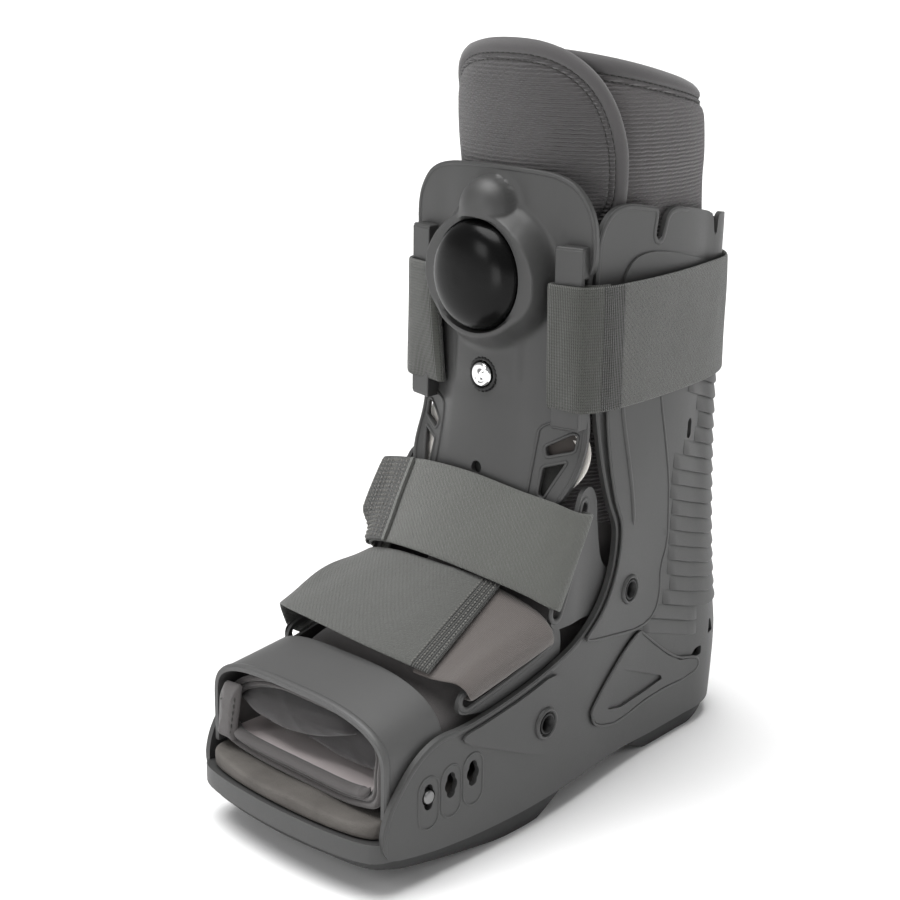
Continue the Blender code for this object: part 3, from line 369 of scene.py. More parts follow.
def shell_surface(run, z):
    """The shell's outer face: run is the way round it from the back's middle line, positive to the right."""
    side = np.where(run < 0, -1.0, 1.0)
    past = np.abs(run)
    along = SIDE_END_Y - (past - CORNER_RUN)
    angle = np.clip(1 - past / CORNER_RUN, 0, 1) * math.pi / 2
    depth = curve(SHELL_BACK, z) - SIDE_END_Y
    power = 2 / CORNER_POWER
    corner_x = shell_half(np.full_like(z, SIDE_END_Y), z) * np.cos(angle) ** power
    on_side = past >= CORNER_RUN
    x = np.where(on_side, shell_half(along, z), corner_x)
    y = np.where(on_side, along, SIDE_END_Y + depth * np.sin(angle) ** power)
    return stack(side * x, y, z)


def shell_run(y):
    return CORNER_RUN + SIDE_END_Y - y


def shell_point(run, z, n):
    return offset(shell_surface, run, z, -np.asarray(n, float))


def side_place(side):
    """Place on the shell's side, in its own y and z, for the right (1) or left (-1) side."""
    return lambda y, z, n: shell_point(side * shell_run(y), z, n)


def ring_at(z, angle, inside=0.0):
    """A point of the bootie's ring whose front point is at z: angle 0 is the front, positive to the right."""
    rows = np.array(LINER_RINGS[::-1], float)
    front_y, back_y, back_z, half, power = (through(rows[:, 1], rows[:, k], z) for k in (0, 2, 3, 4, 5))
    power = power + 2.2 * np.clip((90 - z) / 14, 0, 1) * np.clip(0.4 - np.cos(angle), 0, 1)
    front = stack(0, front_y, z)
    back = stack(0, back_y, back_z)
    gap = front - back
    reach = np.linalg.norm(gap, axis=-1) / 2
    x = (half - inside) * signed_power(np.sin(angle), 2 / power)
    depth = (reach - inside) * signed_power(np.cos(angle), 2 / power)
    lean = TOE_OPENING_LEAN * np.clip((86 - z) / 11, 0, 1) * np.clip(np.cos(angle), 0, 1)
    return stack(x, lean, 0) + (front + back) / 2 + unit(gap) * depth[..., None]


def flap_surface(angle, z):
    return ring_at(z, np.radians(angle))


flap_place = normal_place(flap_surface)


def raised(place, rise):
    """The same place, higher by rise."""
    return lambda u, v, n: place(u, v, n + rise)


def panel_surface(x, z):
    table = np.array(PANEL_SECTIONS, float)
    rows = np.stack([through(table[:, 0], table[:, k + 1], z) for k in range(len(PANEL_STATIONS))], -1)
    places = np.array((-PANEL_STATIONS[1],) + PANEL_STATIONS, float)
    values = np.concatenate([rows[:, 1:2], rows], 1)
    return stack(x, through(places, values, np.abs(x)), z)


panel_point = normal_place(panel_surface)


def guard_surface(turn, y):
    """The toe guard's outer face: turn goes from -100 at the left foot over the crown to 100 at the right."""
    side = np.where(turn < 0, -1.0, 1.0)
    crown = GUARD_CROWN + (y - GUARD_FRONT_Y) / 6
    along = np.abs(turn)
    part = np.clip((along - (100 - GUARD_LEG_SHARE)) / GUARD_LEG_SHARE, 0, 1)
    angle = np.clip(along / (100 - GUARD_LEG_SHARE), 0, 1) * math.pi / 2
    power = 2 / np.where(turn > 0, GUARD_RIGHT_POWER, GUARD_LEFT_POWER)
    x = GUARD_HALF * np.sin(angle) ** power
    z = GUARD_SHOULDER + (crown - GUARD_SHOULDER) * np.cos(angle) ** power
    return stack(side * x, y, np.where(part > 0, GUARD_SHOULDER + (GUARD_FOOT - GUARD_SHOULDER) * part, z))


guard_place = normal_place(guard_surface)


def strap_surface(table):
    """Surface of a strap through its rows: u is the row, v goes from its front edge (0) to its rear (1)."""
    rows = np.array(table, float)
    places = np.arange(len(rows), dtype=float)

    def surface(u, v):
        values = np.stack([through(places, rows[:, k], u) for k in range(6)], -1)
        return values[:, :3] + (values[:, 3:] - values[:, :3]) * np.asarray(v)[:, None]

    return surface


# Meshes

def add(name, points, faces, material, body=BOOT, bevel=0.0, sharp=40, replaces=(), uvs=None):
    """Make a piece from points in table millimetres, and let it ride on a body."""
    mesh = bpy.data.meshes.new(name)
    mesh.from_pydata(in_metres(points).tolist(), [], [[int(k) for k in face] for face in faces])
    if uvs is not None:
        layer = mesh.uv_layers.new(name="cloth")
        corners = np.array([loop.vertex_index for loop in mesh.loops])
        layer.data.foreach_set("uv", (np.asarray(uvs)[corners] * MM).astype(np.float32).ravel())
    bm = bmesh.new()
    bm.from_mesh(mesh)
    return finish_piece(name, bm, material, body, bevel, sharp, replaces, mesh)


def placed(name, data):
    made = bpy.data.objects.new(name, data)
    bpy.context.scene.collection.objects.link(made)
    return made


def finish_piece(name, bm, material, body=BOOT, bevel=0.0, sharp=40, replaces=(), mesh=None):
    bmesh.ops.recalc_face_normals(bm, faces=bm.faces[:])
    mesh = mesh or bpy.data.meshes.new(name)
    bm.to_mesh(mesh)
    bm.free()
    mesh.shade_smooth()
    mesh.set_sharp_from_angle(angle=math.radians(sharp))
    mesh.materials.append(material)
    made = placed(name, mesh)
    if bevel:
        rounding = made.modifiers.new("rounding", "BEVEL")
        rounding.width = bevel * MM
        rounding.segments = 3
        rounding.limit_method = "ANGLE"
        rounding.angle_limit = math.radians(50)
        rounding.harden_normals = True
    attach(made, body)
    word = material.name.partition(".")[0]
    SLOTS.get(word, word)
    if replaces:
        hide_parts(*replaces)
    return made


def loft(rings, ring_ends=False):
    """Points and faces of a closed solid through rings of points, capped or with its two ends joined."""
    rings = np.asarray(rings, float)
    rows, sides = rings.shape[:2]
    index = np.arange(rows * sides).reshape(rows, sides)
    following = np.roll(index, -1, 0) if ring_ends else index[1:]
    faces = []
    for row, after in zip(index, following):
        faces += np.stack([np.roll(row, 1), row, after, np.roll(after, 1)], 1).tolist()
    if not ring_ends:
        faces += [index[0].tolist(), index[-1].tolist()]
    return rings.reshape(-1, 3), faces


def merged(parts):
    """Points and faces of several solids as one."""
    points = []
    faces = []
    total = 0
    for these, those in parts:
        points.append(np.asarray(these))
        faces += [[k + total for k in face] for face in those]
        total += len(these)
    return np.concatenate(points), faces


def flat_solid(outline, holes, low, high, u_cuts, v_cuts):
    """A plate with holes in flat coordinates (u, v, n), cut into a grid so that it can be bent."""
    bm = bmesh.new()
    edges = []
    for loop in [outline] + list(holes):
        verts = [bm.verts.new((u, v, low)) for u, v in loop]
        edges += [bm.edges.new((verts[i - 1], verts[i])) for i in range(len(verts))]
    bmesh.ops.triangle_fill(bm, use_beauty=True, edges=edges)
    cuts = [(Vector((1, 0, 0)), u) for u in u_cuts] + [(Vector((0, 1, 0)), v) for v in v_cuts]
    for axis, place in cuts:
        cut = bmesh.ops.bisect_plane(bm, geom=bm.verts[:] + bm.edges[:] + bm.faces[:], dist=0.01,
                                     plane_co=axis * place, plane_no=axis)
        for item in cut["geom_cut"]:
            if isinstance(item, bmesh.types.BMEdge):
                item.seam = True
    bmesh.ops.dissolve_limit(bm, angle_limit=0.01, use_dissolve_boundaries=False, verts=bm.verts[:],
                             edges=bm.edges[:], delimit={"SEAM"})
    for edge in bm.edges:
        edge.seam = False
    grown = bmesh.ops.extrude_face_region(bm, geom=bm.faces[:])
    for item in grown["geom"]:
        if isinstance(item, bmesh.types.BMVert):
            item.co.z = high
    return bm


def bent(bm, place):
    flat = np.array([vert.co for vert in bm.verts])
    for vert, point in zip(bm.verts, in_metres(place(flat[:, 0], flat[:, 1], flat[:, 2]))):
        vert.co = point
    return bm


def grid_cuts(outline, pitch):
    low = np.min(outline, 0)
    high = np.max(outline, 0)
    return [np.arange(low[k] + pitch / 2, high[k], pitch) for k in (0, 1)]


def plate(name, outline, holes, low, high, place, material, pitch=4.0, bevel=0.0, **more):
    """A bent plate with rounded edges."""
    u_cuts, v_cuts = grid_cuts(outline, pitch)
    bm = flat_solid(outline, holes, low, high, u_cuts, v_cuts)
    return finish_piece(name, bent(bm, place), material, bevel=bevel, **more)


def rings_inward(outline, centre, distances, shares):
    """Loops inside an outline: first at distances from it, then at shares of the way to the centre."""
    outline = np.asarray(outline, float)
    along = np.roll(outline, -1, 0) - np.roll(outline, 1, 0)
    normal = unit(np.stack([-along[:, 1], along[:, 0]], 1))
    inward = np.asarray(centre, float) - outline
    reach = np.linalg.norm(inward, axis=1)
    inward = unit(inward)
    lean = np.maximum(np.abs((inward * normal).sum(1)), 0.5)
    loops = [outline + inward * np.minimum(d / lean, reach * 0.6)[:, None] for d in distances]
    loops += [loops[-1] + (np.asarray(centre, float) - loops[-1]) * share for share in shares]
    return loops


def cushion(outline, centre, distances, shares, tops, bottoms, place):
    """A closed pad: tops and bottoms are its heights at the loops inwards, the last one up to the centre."""
    loops = rings_inward(outline, centre, distances, shares)
    upper, lower = ([place(loop[:, 0], loop[:, 1],
                           np.full(len(loop), float(heights[min(i, len(heights) - 1)])))
                     for i, loop in enumerate(loops)] for heights in (tops, bottoms))
    return loft(upper[::-1] + lower)


def bead(path, place, half_width, height, closed=False, pitch=2.0, sink=0.4, ease_corners=2):
    """A raised half-round line along a path on a surface, tapered at open ends."""
    path = resampled(path, pitch, closed, ease_corners)
    along = np.roll(path, -1, 0) - np.roll(path, 1, 0)
    size = np.ones(len(path))
    if not closed:
        along[0] = path[1] - path[0]
        along[-1] = path[-1] - path[-2]
        ends = np.minimum(np.arange(len(path)), np.arange(len(path))[::-1])
        size = np.sqrt(np.clip((ends + 0.15) / 2, 0, 1))
    across = unit(np.stack([-along[:, 1], along[:, 0]], 1))
    rings = []
    for turn in np.radians((0, 35, 65, 90, 115, 145, 180)):
        side = path + across * (half_width * math.cos(turn) * size)[:, None]
        rings.append(place(side[:, 0], side[:, 1], height * math.sin(turn) * size - sink * 0.2))
    for share in (-1, 1):
        side = path + across * (half_width * share * size)[:, None]
        rings.append(place(side[:, 0], side[:, 1], np.full(len(path), -sink)))
    return loft(np.stack(rings, 1), ring_ends=closed)


def turned(profile, sides, centre, place, ring_ends=True):
    """A round piece on a surface: profile rows are (radius, height)."""
    rings = []
    for radius, height in profile:
        points = circle(*centre, radius, sides)
        rings.append(place(points[:, 0], points[:, 1], np.full(sides, float(height))))
    return loft(rings, ring_ends)


def eased(profile, count=4):
    """More rows along a profile, on a smooth curve through it."""
    rows = np.array(profile, float)
    places = np.arange(len(rows), dtype=float)
    at = np.linspace(0, len(rows) - 1, (len(rows) - 1) * count + 1)
    return np.stack([through(places, rows[:, k], at) for k in (0, 1)], 1)


def flat_place(base_y):
    return lambda x, z, n: stack(x, base_y - n, z)


# Materials

def node(tree, kind, inputs=None, **settings):
    made = tree.nodes.new(kind)
    for key, value in settings.items():
        setattr(made, key, value)
    for key, value in (inputs or {}).items():
        if isinstance(value, bpy.types.NodeSocket):
            tree.links.new(value, made.inputs[key])
        else:
            made.inputs[key].default_value = value
    return made


def noise(tree, coords, scale, detail=2.0, roughness=0.5):
    return node(tree, "ShaderNodeTexNoise", {"Vector": coords, "Scale": scale, "Detail": detail,
                                             "Roughness": roughness}).outputs["Fac"]


def wave(tree, coords, pitch, axis, distortion=0.0, detail_scale=1.0):
    """Bands that repeat every pitch millimetres along an axis."""
    scale = 2 * math.pi / (20 * pitch * MM)
    inputs = {"Vector": coords, "Scale": scale, "Distortion": distortion, "Detail": 1.0,
              "Detail Scale": detail_scale}
    return node(tree, "ShaderNodeTexWave", inputs, bands_direction=axis).outputs["Fac"]


def blended(tree, low, high, factor):
    mix = node(tree, "ShaderNodeMix", {"Factor": factor}, data_type="RGBA")
    mix.inputs["A"].default_value = (*low, 1)
    mix.inputs["B"].default_value = (*high, 1)
    return mix.outputs["Result"]


def spread(tree, value, low, high):
    """A texture's value brought to the range low to high."""
    return node(tree, "ShaderNodeMapRange", {"Value": value, "From Min": 0.25, "From Max": 0.75,
                                             "To Min": low, "To Max": high}).outputs["Result"]


def combined(tree, first, second, share):
    """Two heights added, the second at a share."""
    scaled = node(tree, "ShaderNodeMath", {0: second, 1: share}, operation="MULTIPLY").outputs[0]
    return node(tree, "ShaderNodeMath", {0: first, 1: scaled}, operation="ADD").outputs[0]


Surface = namedtuple("Surface", "tree coords cloth shader")


def surface(name, roughness, metallic=0.0, sheen=0.0, specular=0.5):
    material = bpy.data.materials.new(name)
    material.use_nodes = True
    tree = material.node_tree
    shader = tree.nodes["Principled BSDF"]
    for key, value in (("Roughness", roughness), ("Metallic", metallic), ("Sheen Weight", sheen),
                       ("Sheen Roughness", 0.6), ("Specular IOR Level", specular)):
        shader.inputs[key].default_value = value
    place = node(tree, "ShaderNodeTexCoord")
    return material, Surface(tree, place.outputs["Object"], place.outputs["UV"], shader)


def dress(s, colour, roughness, height, distance):
    s.tree.links.new(colour, s.shader.inputs["Base Color"])
    if roughness is not None:
        s.tree.links.new(roughness, s.shader.inputs["Roughness"])
    bump = node(s.tree, "ShaderNodeBump", {"Height": height, "Strength": 1.0, "Distance": distance * MM})
    s.tree.links.new(bump.outputs["Normal"], s.shader.inputs["Normal"])


def tinted(colour, factor):
    return tuple(channel * factor for channel in colour)


def moulded(name, colour, roughness, grain=0.05, contrast=0.05, **more):
    """Moulded plastic or rubber: even colour with faint clouds, fine grain and slightly uneven gloss."""
    material, s = surface(name, roughness, **more)
    clouds = noise(s.tree, s.coords, 35, 3)
    fine = noise(s.tree, s.coords, 2200, 2)
    wide = noise(s.tree, s.coords, 90, 2)
    dress(s, blended(s.tree, tinted(colour, 1 - contrast), tinted(colour, 1 + contrast), clouds),
          spread(s.tree, combined(s.tree, fine, clouds, 0.3), roughness - 0.06, roughness + 0.06),
          combined(s.tree, fine, wide, 2.0), grain)
    return material


def knitted(name, dark, light, pitch, depth):
    """Ribbed knit: wavy ribs that repeat along z, with fuzz on them."""
    material, s = surface(name, 0.95, sheen=0.25, specular=0.2)
    ribs = wave(s.tree, s.coords, pitch, "Z", 1.6, 2.0)
    fuzz = noise(s.tree, s.coords, 2600, 3)
    clouds = noise(s.tree, s.coords, 55, 3)
    shade = combined(s.tree, combined(s.tree, ribs, fuzz, 0.5), clouds, 0.8)
    dress(s, blended(s.tree, dark, light, spread(s.tree, shade, -0.1, 0.75)), None,
          combined(s.tree, ribs, fuzz, 0.35), depth)
    return material


def jersey(name, dark, light, depth=0.18):
    """Smooth cloth with a fine grain."""
    material, s = surface(name, 0.9, sheen=0.25, specular=0.2)
    fuzz = noise(s.tree, s.coords, 3000, 3)
    clouds = noise(s.tree, s.coords, 60, 3)
    shade = combined(s.tree, combined(s.tree, fuzz, clouds, 0.9),
                     wave(s.tree, s.coords, 0.9, "Z", 2.0, 3.0), 0.25)
    dress(s, blended(s.tree, dark, light, spread(s.tree, shade, -0.4, 0.6)), None, fuzz, depth)
    return material


def looped(name, dark, light):
    """Loop fabric: a mottled nap."""
    material, s = surface(name, 0.95, sheen=0.35, specular=0.15)
    nap = noise(s.tree, s.coords, 1500, 4, 0.7)
    patches = noise(s.tree, s.coords, 330, 3, 0.6)
    twill = wave(s.tree, s.cloth, 1.3, "DIAGONAL", 2.5, 2.0)
    shade = combined(s.tree, combined(s.tree, nap, patches, 1.1), twill, 0.1)
    dress(s, blended(s.tree, dark, light, spread(s.tree, shade, -0.95, 0.75)), None,
          combined(s.tree, combined(s.tree, nap, patches, 0.6), twill, 0.2), 0.6)
    return material


def woven(name, dark, light, pitch_u, pitch_v, depth):
    """Webbing: fine cords one way and a weft the other way, by the strap's own length and width."""
    material, s = surface(name, 0.85, sheen=0.25, specular=0.2)
    cords = wave(s.tree, s.cloth, pitch_u, "X", 0.4, 4.0)
    weft = wave(s.tree, s.cloth, pitch_v, "Y", 0.6, 4.0)
    fuzz = noise(s.tree, s.coords, 2500, 3)
    shade = combined(s.tree, combined(s.tree, cords, weft, 0.5), fuzz, 0.7)
    dress(s, blended(s.tree, dark, light, spread(s.tree, shade, -0.35, 0.6)), None,
          combined(s.tree, combined(s.tree, cords, weft, 0.6), fuzz, 0.4), depth)
    return material


def foamed(name, dark, light):
    material, s = surface(name, 0.95, specular=0.2)
    cells = node(s.tree, "ShaderNodeTexVoronoi", {"Vector": s.coords, "Scale": 1500.0}).outputs["Distance"]
    clouds = noise(s.tree, s.coords, 70, 3)
    dress(s, blended(s.tree, dark, light, combined(s.tree, clouds, cells, 0.2)), None, cells, 0.15)
    return material


def metal(name, colour, roughness):
    material, s = surface(name, roughness, metallic=1.0)
    fine = noise(s.tree, s.coords, 900, 2)
    dress(s, blended(s.tree, tinted(colour, 0.94), colour, fine),
          spread(s.tree, fine, roughness, roughness + 0.08), fine, 0.01)
    return material


PLASTIC = moulded("grey_plastic", (0.046, 0.046, 0.0455), 0.46, 0.035)
# Painted shade: the front panel's plastic is a darker copy of the grey plastic, for its front-facing faces
# that get less of the light from above
SHADED_PANEL_PLASTIC = moulded("shaded_panel_plastic", (0.042, 0.042, 0.0415), 0.46, 0.035)
# Painted light: the toe guard's plastic is a lighter copy of the grey plastic, for its top that faces the
# light from above
LIT_GUARD_PLASTIC = moulded("lit_guard_plastic", (0.066, 0.066, 0.0655), 0.46, 0.035)
SOLE = moulded("sole_rubber", (0.034, 0.034, 0.034), 0.75, 0.09, 0.1, specular=0.3)
BULB = moulded("black_rubber", (0.003, 0.003, 0.003), 0.2, 0.006, 0.2, specular=0.14)
BLACK = moulded("black_metal", (0.008, 0.008, 0.008), 0.42, 0.02, 0.2, specular=0.35)
FILM = moulded("off_white_film", (0.72, 0.69, 0.65), 0.45, 0.15, 0.06)
THREAD = jersey("thread", (0.014, 0.014, 0.013), (0.04, 0.039, 0.035))
PALE_THREAD = jersey("pale_thread", (0.09, 0.09, 0.083), (0.17, 0.166, 0.154))
CHROME = metal("chrome_metal", (0.85, 0.85, 0.85), 0.06)
LIGHT_METAL = metal("light_metal", (0.22, 0.22, 0.22), 0.4)
# Painted shade: a darker copy of the toe jersey for the folds deep inside the toe opening
SHADED_JERSEY = jersey("shaded_jersey", (0.018, 0.017, 0.0175), (0.05, 0.046, 0.047))
KNIT = knitted("knit", (0.013, 0.012, 0.0125), (0.112, 0.105, 0.106), 1.9, 0.7)
# Painted shade: the flap's knit is a darker copy of the calf knit
SHADED_FLAP_KNIT = knitted("flap_cloth", (0.009, 0.0085, 0.009), (0.08, 0.076, 0.077), 1.9, 0.7)
JERSEY = jersey("jersey", (0.045, 0.043, 0.044), (0.092, 0.088, 0.089))
TOE_JERSEY = jersey("toe_jersey", (0.04, 0.037, 0.037), (0.09, 0.083, 0.082))
# Painted light: a pale copy of the jersey for the upward-facing floor inside the toe opening
LIT_FLOOR_JERSEY = jersey("lit_floor_jersey", (0.36, 0.32, 0.318), (0.6, 0.54, 0.54))
LOOP = looped("loop_fabric", (0.02, 0.021, 0.018), (0.114, 0.117, 0.107))
# Painted shade: a darker copy of the loop fabric for the calf and instep straps
SHADED_LOOP = looped("shaded_loop_fabric", (0.015, 0.016, 0.0135), (0.083, 0.085, 0.078))
WEBBING = woven("webbing", (0.022, 0.023, 0.02), (0.08, 0.082, 0.074), 0.9, 1.4, 0.25)
DARK_WEBBING = woven("dark_webbing", (0.012, 0.012, 0.011), (0.05, 0.051, 0.047), 1.2, 1.2, 0.4)
TAB = woven("tab_fabric", (0.06, 0.052, 0.048), (0.125, 0.11, 0.103), 0.7, 0.7, 0.1)
FOAM = foamed("foam", (0.066, 0.061, 0.057), (0.13, 0.121, 0.112))


# The shell, its relief and its floor

def toe_slot(centre):
    """A keyhole: a slot with a round eye in its middle."""
    run, z = shell_run(centre[0]), centre[1]
    notch = math.asin(SLOT_HALF_WIDTH / SLOT_EYE)
    points = []
    for base in (0, math.pi):
        side = 1 if base == 0 else -1
        for angle in np.linspace(base - (math.pi / 2 - notch), base + math.pi / 2 - notch, 8):
            points.append((run + SLOT_EYE * math.cos(angle), z + SLOT_EYE * math.sin(angle)))
        reach = SLOT_HALF_HEIGHT - SLOT_HALF_WIDTH
        for angle in np.linspace(0.15, math.pi - 0.15, 7):
            points.append((run + side * SLOT_HALF_WIDTH * math.cos(angle),
                           z + side * (reach + SLOT_HALF_WIDTH * math.sin(angle))))
    return points


def make_shell():
    right = list(SHELL_BACK_LOW) + [(shell_run(y), z) for y, z in SHELL_SIDE_EDGE] + list(SHELL_BACK_TOP)
    outline = resampled(mirrored(right), 3.0, closed=True, ease_corners=2)
    holes = [toe_slot(centre) for centre in TOE_SLOTS]
    vent_run = shell_run(VENT[0])
    holes.append(slot_outline((vent_run, VENT[1] - 3), (vent_run, VENT[1] + 3), 2.2))
    holes += [circle(shell_run(y), z, 3.9, 28) for y, z in (INSTEP_RIVET, ANKLE_RIVET)]
    holes += [rounded(hole, 1.2) for hole in CORNER_HOLES]
    holes += [[(-u, v) for u, v in reversed(list(map(tuple, hole)))] for hole in holes]
    plate("shell_wall", outline, holes, -SHELL_WALL, 0.0, shell_point, PLASTIC, pitch=5.0, bevel=0.7,
          replaces=["shell"])
    parts = []
    band = mirrored([(0, 222)] + [(shell_run(y), z) for y, z in TOP_RELIEF]
                    + [(50, 250), (25, 247.5), (0, 247)])
    pads = [("shell_band", resampled(band, 2.5, True, 1), [], shell_point, 1.2)]
    for side, hand in HANDS:
        place = side_place(side)
        parts.append(bead(edge_line(), place, 1.2, 0.5, pitch=2.5))
        parts.append(bead(PAD_RIDGE, raised(place, PAD_RISE), 1.3, 0.9))
        for shape, rise in ((PAD_RELIEF, PAD_RISE), (HEEL_RELIEF, 1.3)):
            parts.append(bead(moved_across(shape, 1.0), raised(place, rise), 0.7, 0.45, True, 2.0))
        for y, z in TOE_SLOTS:
            frame_line = slot_outline((y, z - 9), (y, z + 3.5), 6.3)
            parts.append(bead(frame_line, place, 0.55, 0.45, True, 1.2, ease_corners=0))
        for rivet, size in ((INSTEP_RIVET, 7.9), (ANKLE_RIVET, 7.6)):
            profile = [(size, -0.4), (size, 2.2), (size - 0.4, 2.9), (size - 1.0, 3.2), (size - 1.6, 3.0),
                       (size - 2.0, 2.2), (5.4, 1.2), (4.2, 0.9), (4.2, -0.4)]
            parts.append(turned(profile, 40, rivet, place))
        for word, shape, hole, rise in (("ankle_pad", PAD_RELIEF, circle(*ANKLE_RIVET, 4.4, 28), PAD_RISE),
                                        ("toe_pad", TOE_RELIEF, circle(*INSTEP_RIVET, 4.4, 28), 1.6),
                                        ("heel_pad", HEEL_RELIEF, rounded(HEEL_RECESS, 3.0, 1.4), 1.4)):
            pads.append((f"shell_{word}_{hand}", resampled(shape, 2.0, True, 1), [hole], place, rise))
    add("shell_beads", *merged(parts), PLASTIC)
    for name, outline, holes, place, rise in pads:
        plate(name, outline, holes, -0.8, rise, place, PLASTIC, pitch=5.0, bevel=0.75)


def edge_line():
    """A line just inside the shell's front edge."""
    rows = np.array(SHELL_SIDE_EDGE[9:44], float)
    along = np.gradient(rows, axis=0)
    return rows + unit(np.stack([along[:, 1], -along[:, 0]], 1)) * 1.6


def rib(z, runs):
    """One rib with a flat sloping face over a sharp lower step, thinning out at its two ends."""
    base = z + np.clip(np.abs(runs) - 58, 0, None) * 0.33
    fade = np.clip(np.minimum(runs - runs[0], runs[-1] - runs) / 2.5, 0.1, 1)
    rings = []
    for lift, n in RIB_PROFILE:
        rise = n * RIB_RISE * fade if n > 0 else np.full(len(runs), n)
        rings.append(shell_point(runs, base + lift, rise))
    return loft(np.stack(rings, 1))


def make_ribs():
    """Stepped ribs round the back, which run down from their front ends on the sides."""
    parts = []
    z = RIB_LOW
    while z < RIB_HIGH - 1:
        front = float(curve(RIB_FRONTS, [z + 6])[0])
        runs = np.arange(0, shell_run(front), 3.0)
        runs = np.concatenate([-runs[:0:-1], runs])
        parts.append(rib(z, runs))
        z += RIB_PITCH
    for z in LOW_RIBS:
        for side in (1, -1):
            runs = np.arange(66, shell_run(float(curve(RIB_FRONTS, [z + 6])[0])), 2.5)
            parts.append(rib(z, np.sort(side * runs)))
    add("shell_ribs", *merged(parts), PLASTIC, sharp=30)


def sole_loop(inset, toe_inset, toe_narrow, start_y, end_y, pitch=3.0):
    """The sole's outline in plan, cut off at start_y and end_y, with its toe set back and narrowed."""
    right = []
    if start_y < -140:
        right += [(x * (1 - toe_narrow / TOE_HALF), y + toe_inset) for x, y in reversed(TOE_OUTLINE)]
        start_y = -122
    else:
        right += [(0, start_y)]
    last = min(end_y, SIDE_END_Y)
    sides = np.arange(start_y + (0 if right[-1][0] == 0 else 4), last, 6.0)
    right += [(float(curve(SHELL_HALF_LOW, [y])[0] - inset), y) for y in sides]
    if end_y > 140:
        depth = SOLE_BACK_Y - inset - SIDE_END_Y
        half = float(curve(SHELL_HALF_LOW, [SIDE_END_Y])[0] - inset)
        for angle in np.linspace(0, math.pi / 2, 13)[:-1]:
            right.append((half * math.cos(angle) ** (2 / CORNER_POWER),
                          SIDE_END_Y + depth * math.sin(angle) ** (2 / CORNER_POWER)))
        right.append((0, SIDE_END_Y + depth))
    else:
        right += [(float(curve(SHELL_HALF_LOW, [end_y])[0] - inset), end_y), (0, end_y)]
    return resampled(mirrored(right), pitch, True, 1)


def between(low_table, high_table, narrow=0.0):
    """Place of a plan point whose n goes from 0 at the low table to 1 at the high one."""
    def place(x, y, n):
        low = curve(low_table, y)
        return stack(x * (1 - narrow * (1 - n)), y, low + (curve(high_table, y) - low) * n)
    return place


def make_sole():
    plate("shell_floor", sole_loop(SHELL_WALL * 0.5, 0, 0, -143, 146), [], 0.0, 1.0,
          between(FLOOR_LOW, FLOOR_TOP), PLASTIC, pitch=8.0, bevel=1.1)
    plate("sole_forefoot", sole_loop(1.4, 2.3, 2.3, -143, -8), [], 0.0, 1.0,
          between(FOREFOOT_LOW, FOREFOOT_TOP, 0.06), SOLE, pitch=8.0, bevel=1.3,
          replaces=["outsole_forefoot"])
    plate("sole_heel", sole_loop(1.4, 2.3, 2.3, 52, 146), [], 0.0, 1.0,
          between(HEEL_LOW, HEEL_TOP, 0.06), SOLE, pitch=8.0, bevel=1.3, replaces=["outsole_heel"])
    outline = sole_loop(SHELL_WALL + 0.7, 2.4, SHELL_WALL + 1.2, -143, 146, 2.5)

    def place(x, y, n):
        low = ramp(FLOOR_TOP, y) + 0.4
        dip = 0.5 * np.sin(x / 9.0) * np.clip((-100 - y) / 30, 0, 1)
        return stack(x, y, low + (INSOLE_TOP - 0.3 - low + dip) * n)

    made = add("insole_foam", *cushion(outline, (0, 5), (0, 0.3, 1.0, 2.0, 3.5, 6), (0.3, 0.6, 0.85, 0.97),
                                       (0.74, 0.9, 0.98, 1.0), (0.35, 0.1, 0.02, 0), place), FOAM,
               replaces=["insole"])


# The bootie and its flap

RIM_Z = LINER_RINGS[0][1]
RIM_PROFILE = ((0.0, 4.6), (0.25, 2.6), (1.2, 0.9), (2.8, -0.2), (4.8, -0.7), (6.8, -0.3), (8.2, 0.5),
               (8.9, 1.7), (9.6, 0.9), (10.5, 0.35), (11.4, 0.9), (12.1, 1.8), (12.9, 0.9), (14.5, 0.2),
               (18, -0.2), (24, -0.1))
TOE_RIM = ((0.0, 0.0), (-0.4, 1.3), (-0.1, 2.5), (0.7, 3.3), (1.7, 3.3), (2.4, 2.4), (2.8, 1.6), (3.1, 2.5),
           (3.7, 2.9), (4.4, 2.4), (4.8, 1.5), (5.2, 0.6))


def thread(spots, run, at, sizes):
    """One thread along a path: its centres at the lengths at, and its radius at each."""
    centres = np.stack([np.interp(at, run, spots[:, k]) for k in range(3)], 1)
    along = unit(centres[-1] - centres[0])
    side = unit(np.cross(along, (0.31, 0.2, 0.93)))
    turn = np.arange(6) * math.pi / 3
    ring = np.cos(turn)[:, None] * side + np.sin(turn)[:, None] * np.cross(along, side)
    return loft(centres[:, None] + sizes[:, None, None] * ring[None])


def stitches(surface_place, path, length=2.3, gap=1.1, radius=0.28, lift=0.1):
    """Short threads along a path on a surface."""
    line = resampled(path, 0.5, ease_corners=1)
    spots = surface_place(line[:, 0], line[:, 1], np.full(len(line), lift))
    run = run_of(spots)
    spread_out = length * np.array((0, 0.12, 0.5, 0.88, 1.0))
    sizes = radius * np.array((0.35, 0.85, 1.0, 0.85, 0.35))
    return merged([thread(spots, run, start + spread_out, sizes)
                   for start in np.arange(0.5, run[-1] - length, length + gap)])


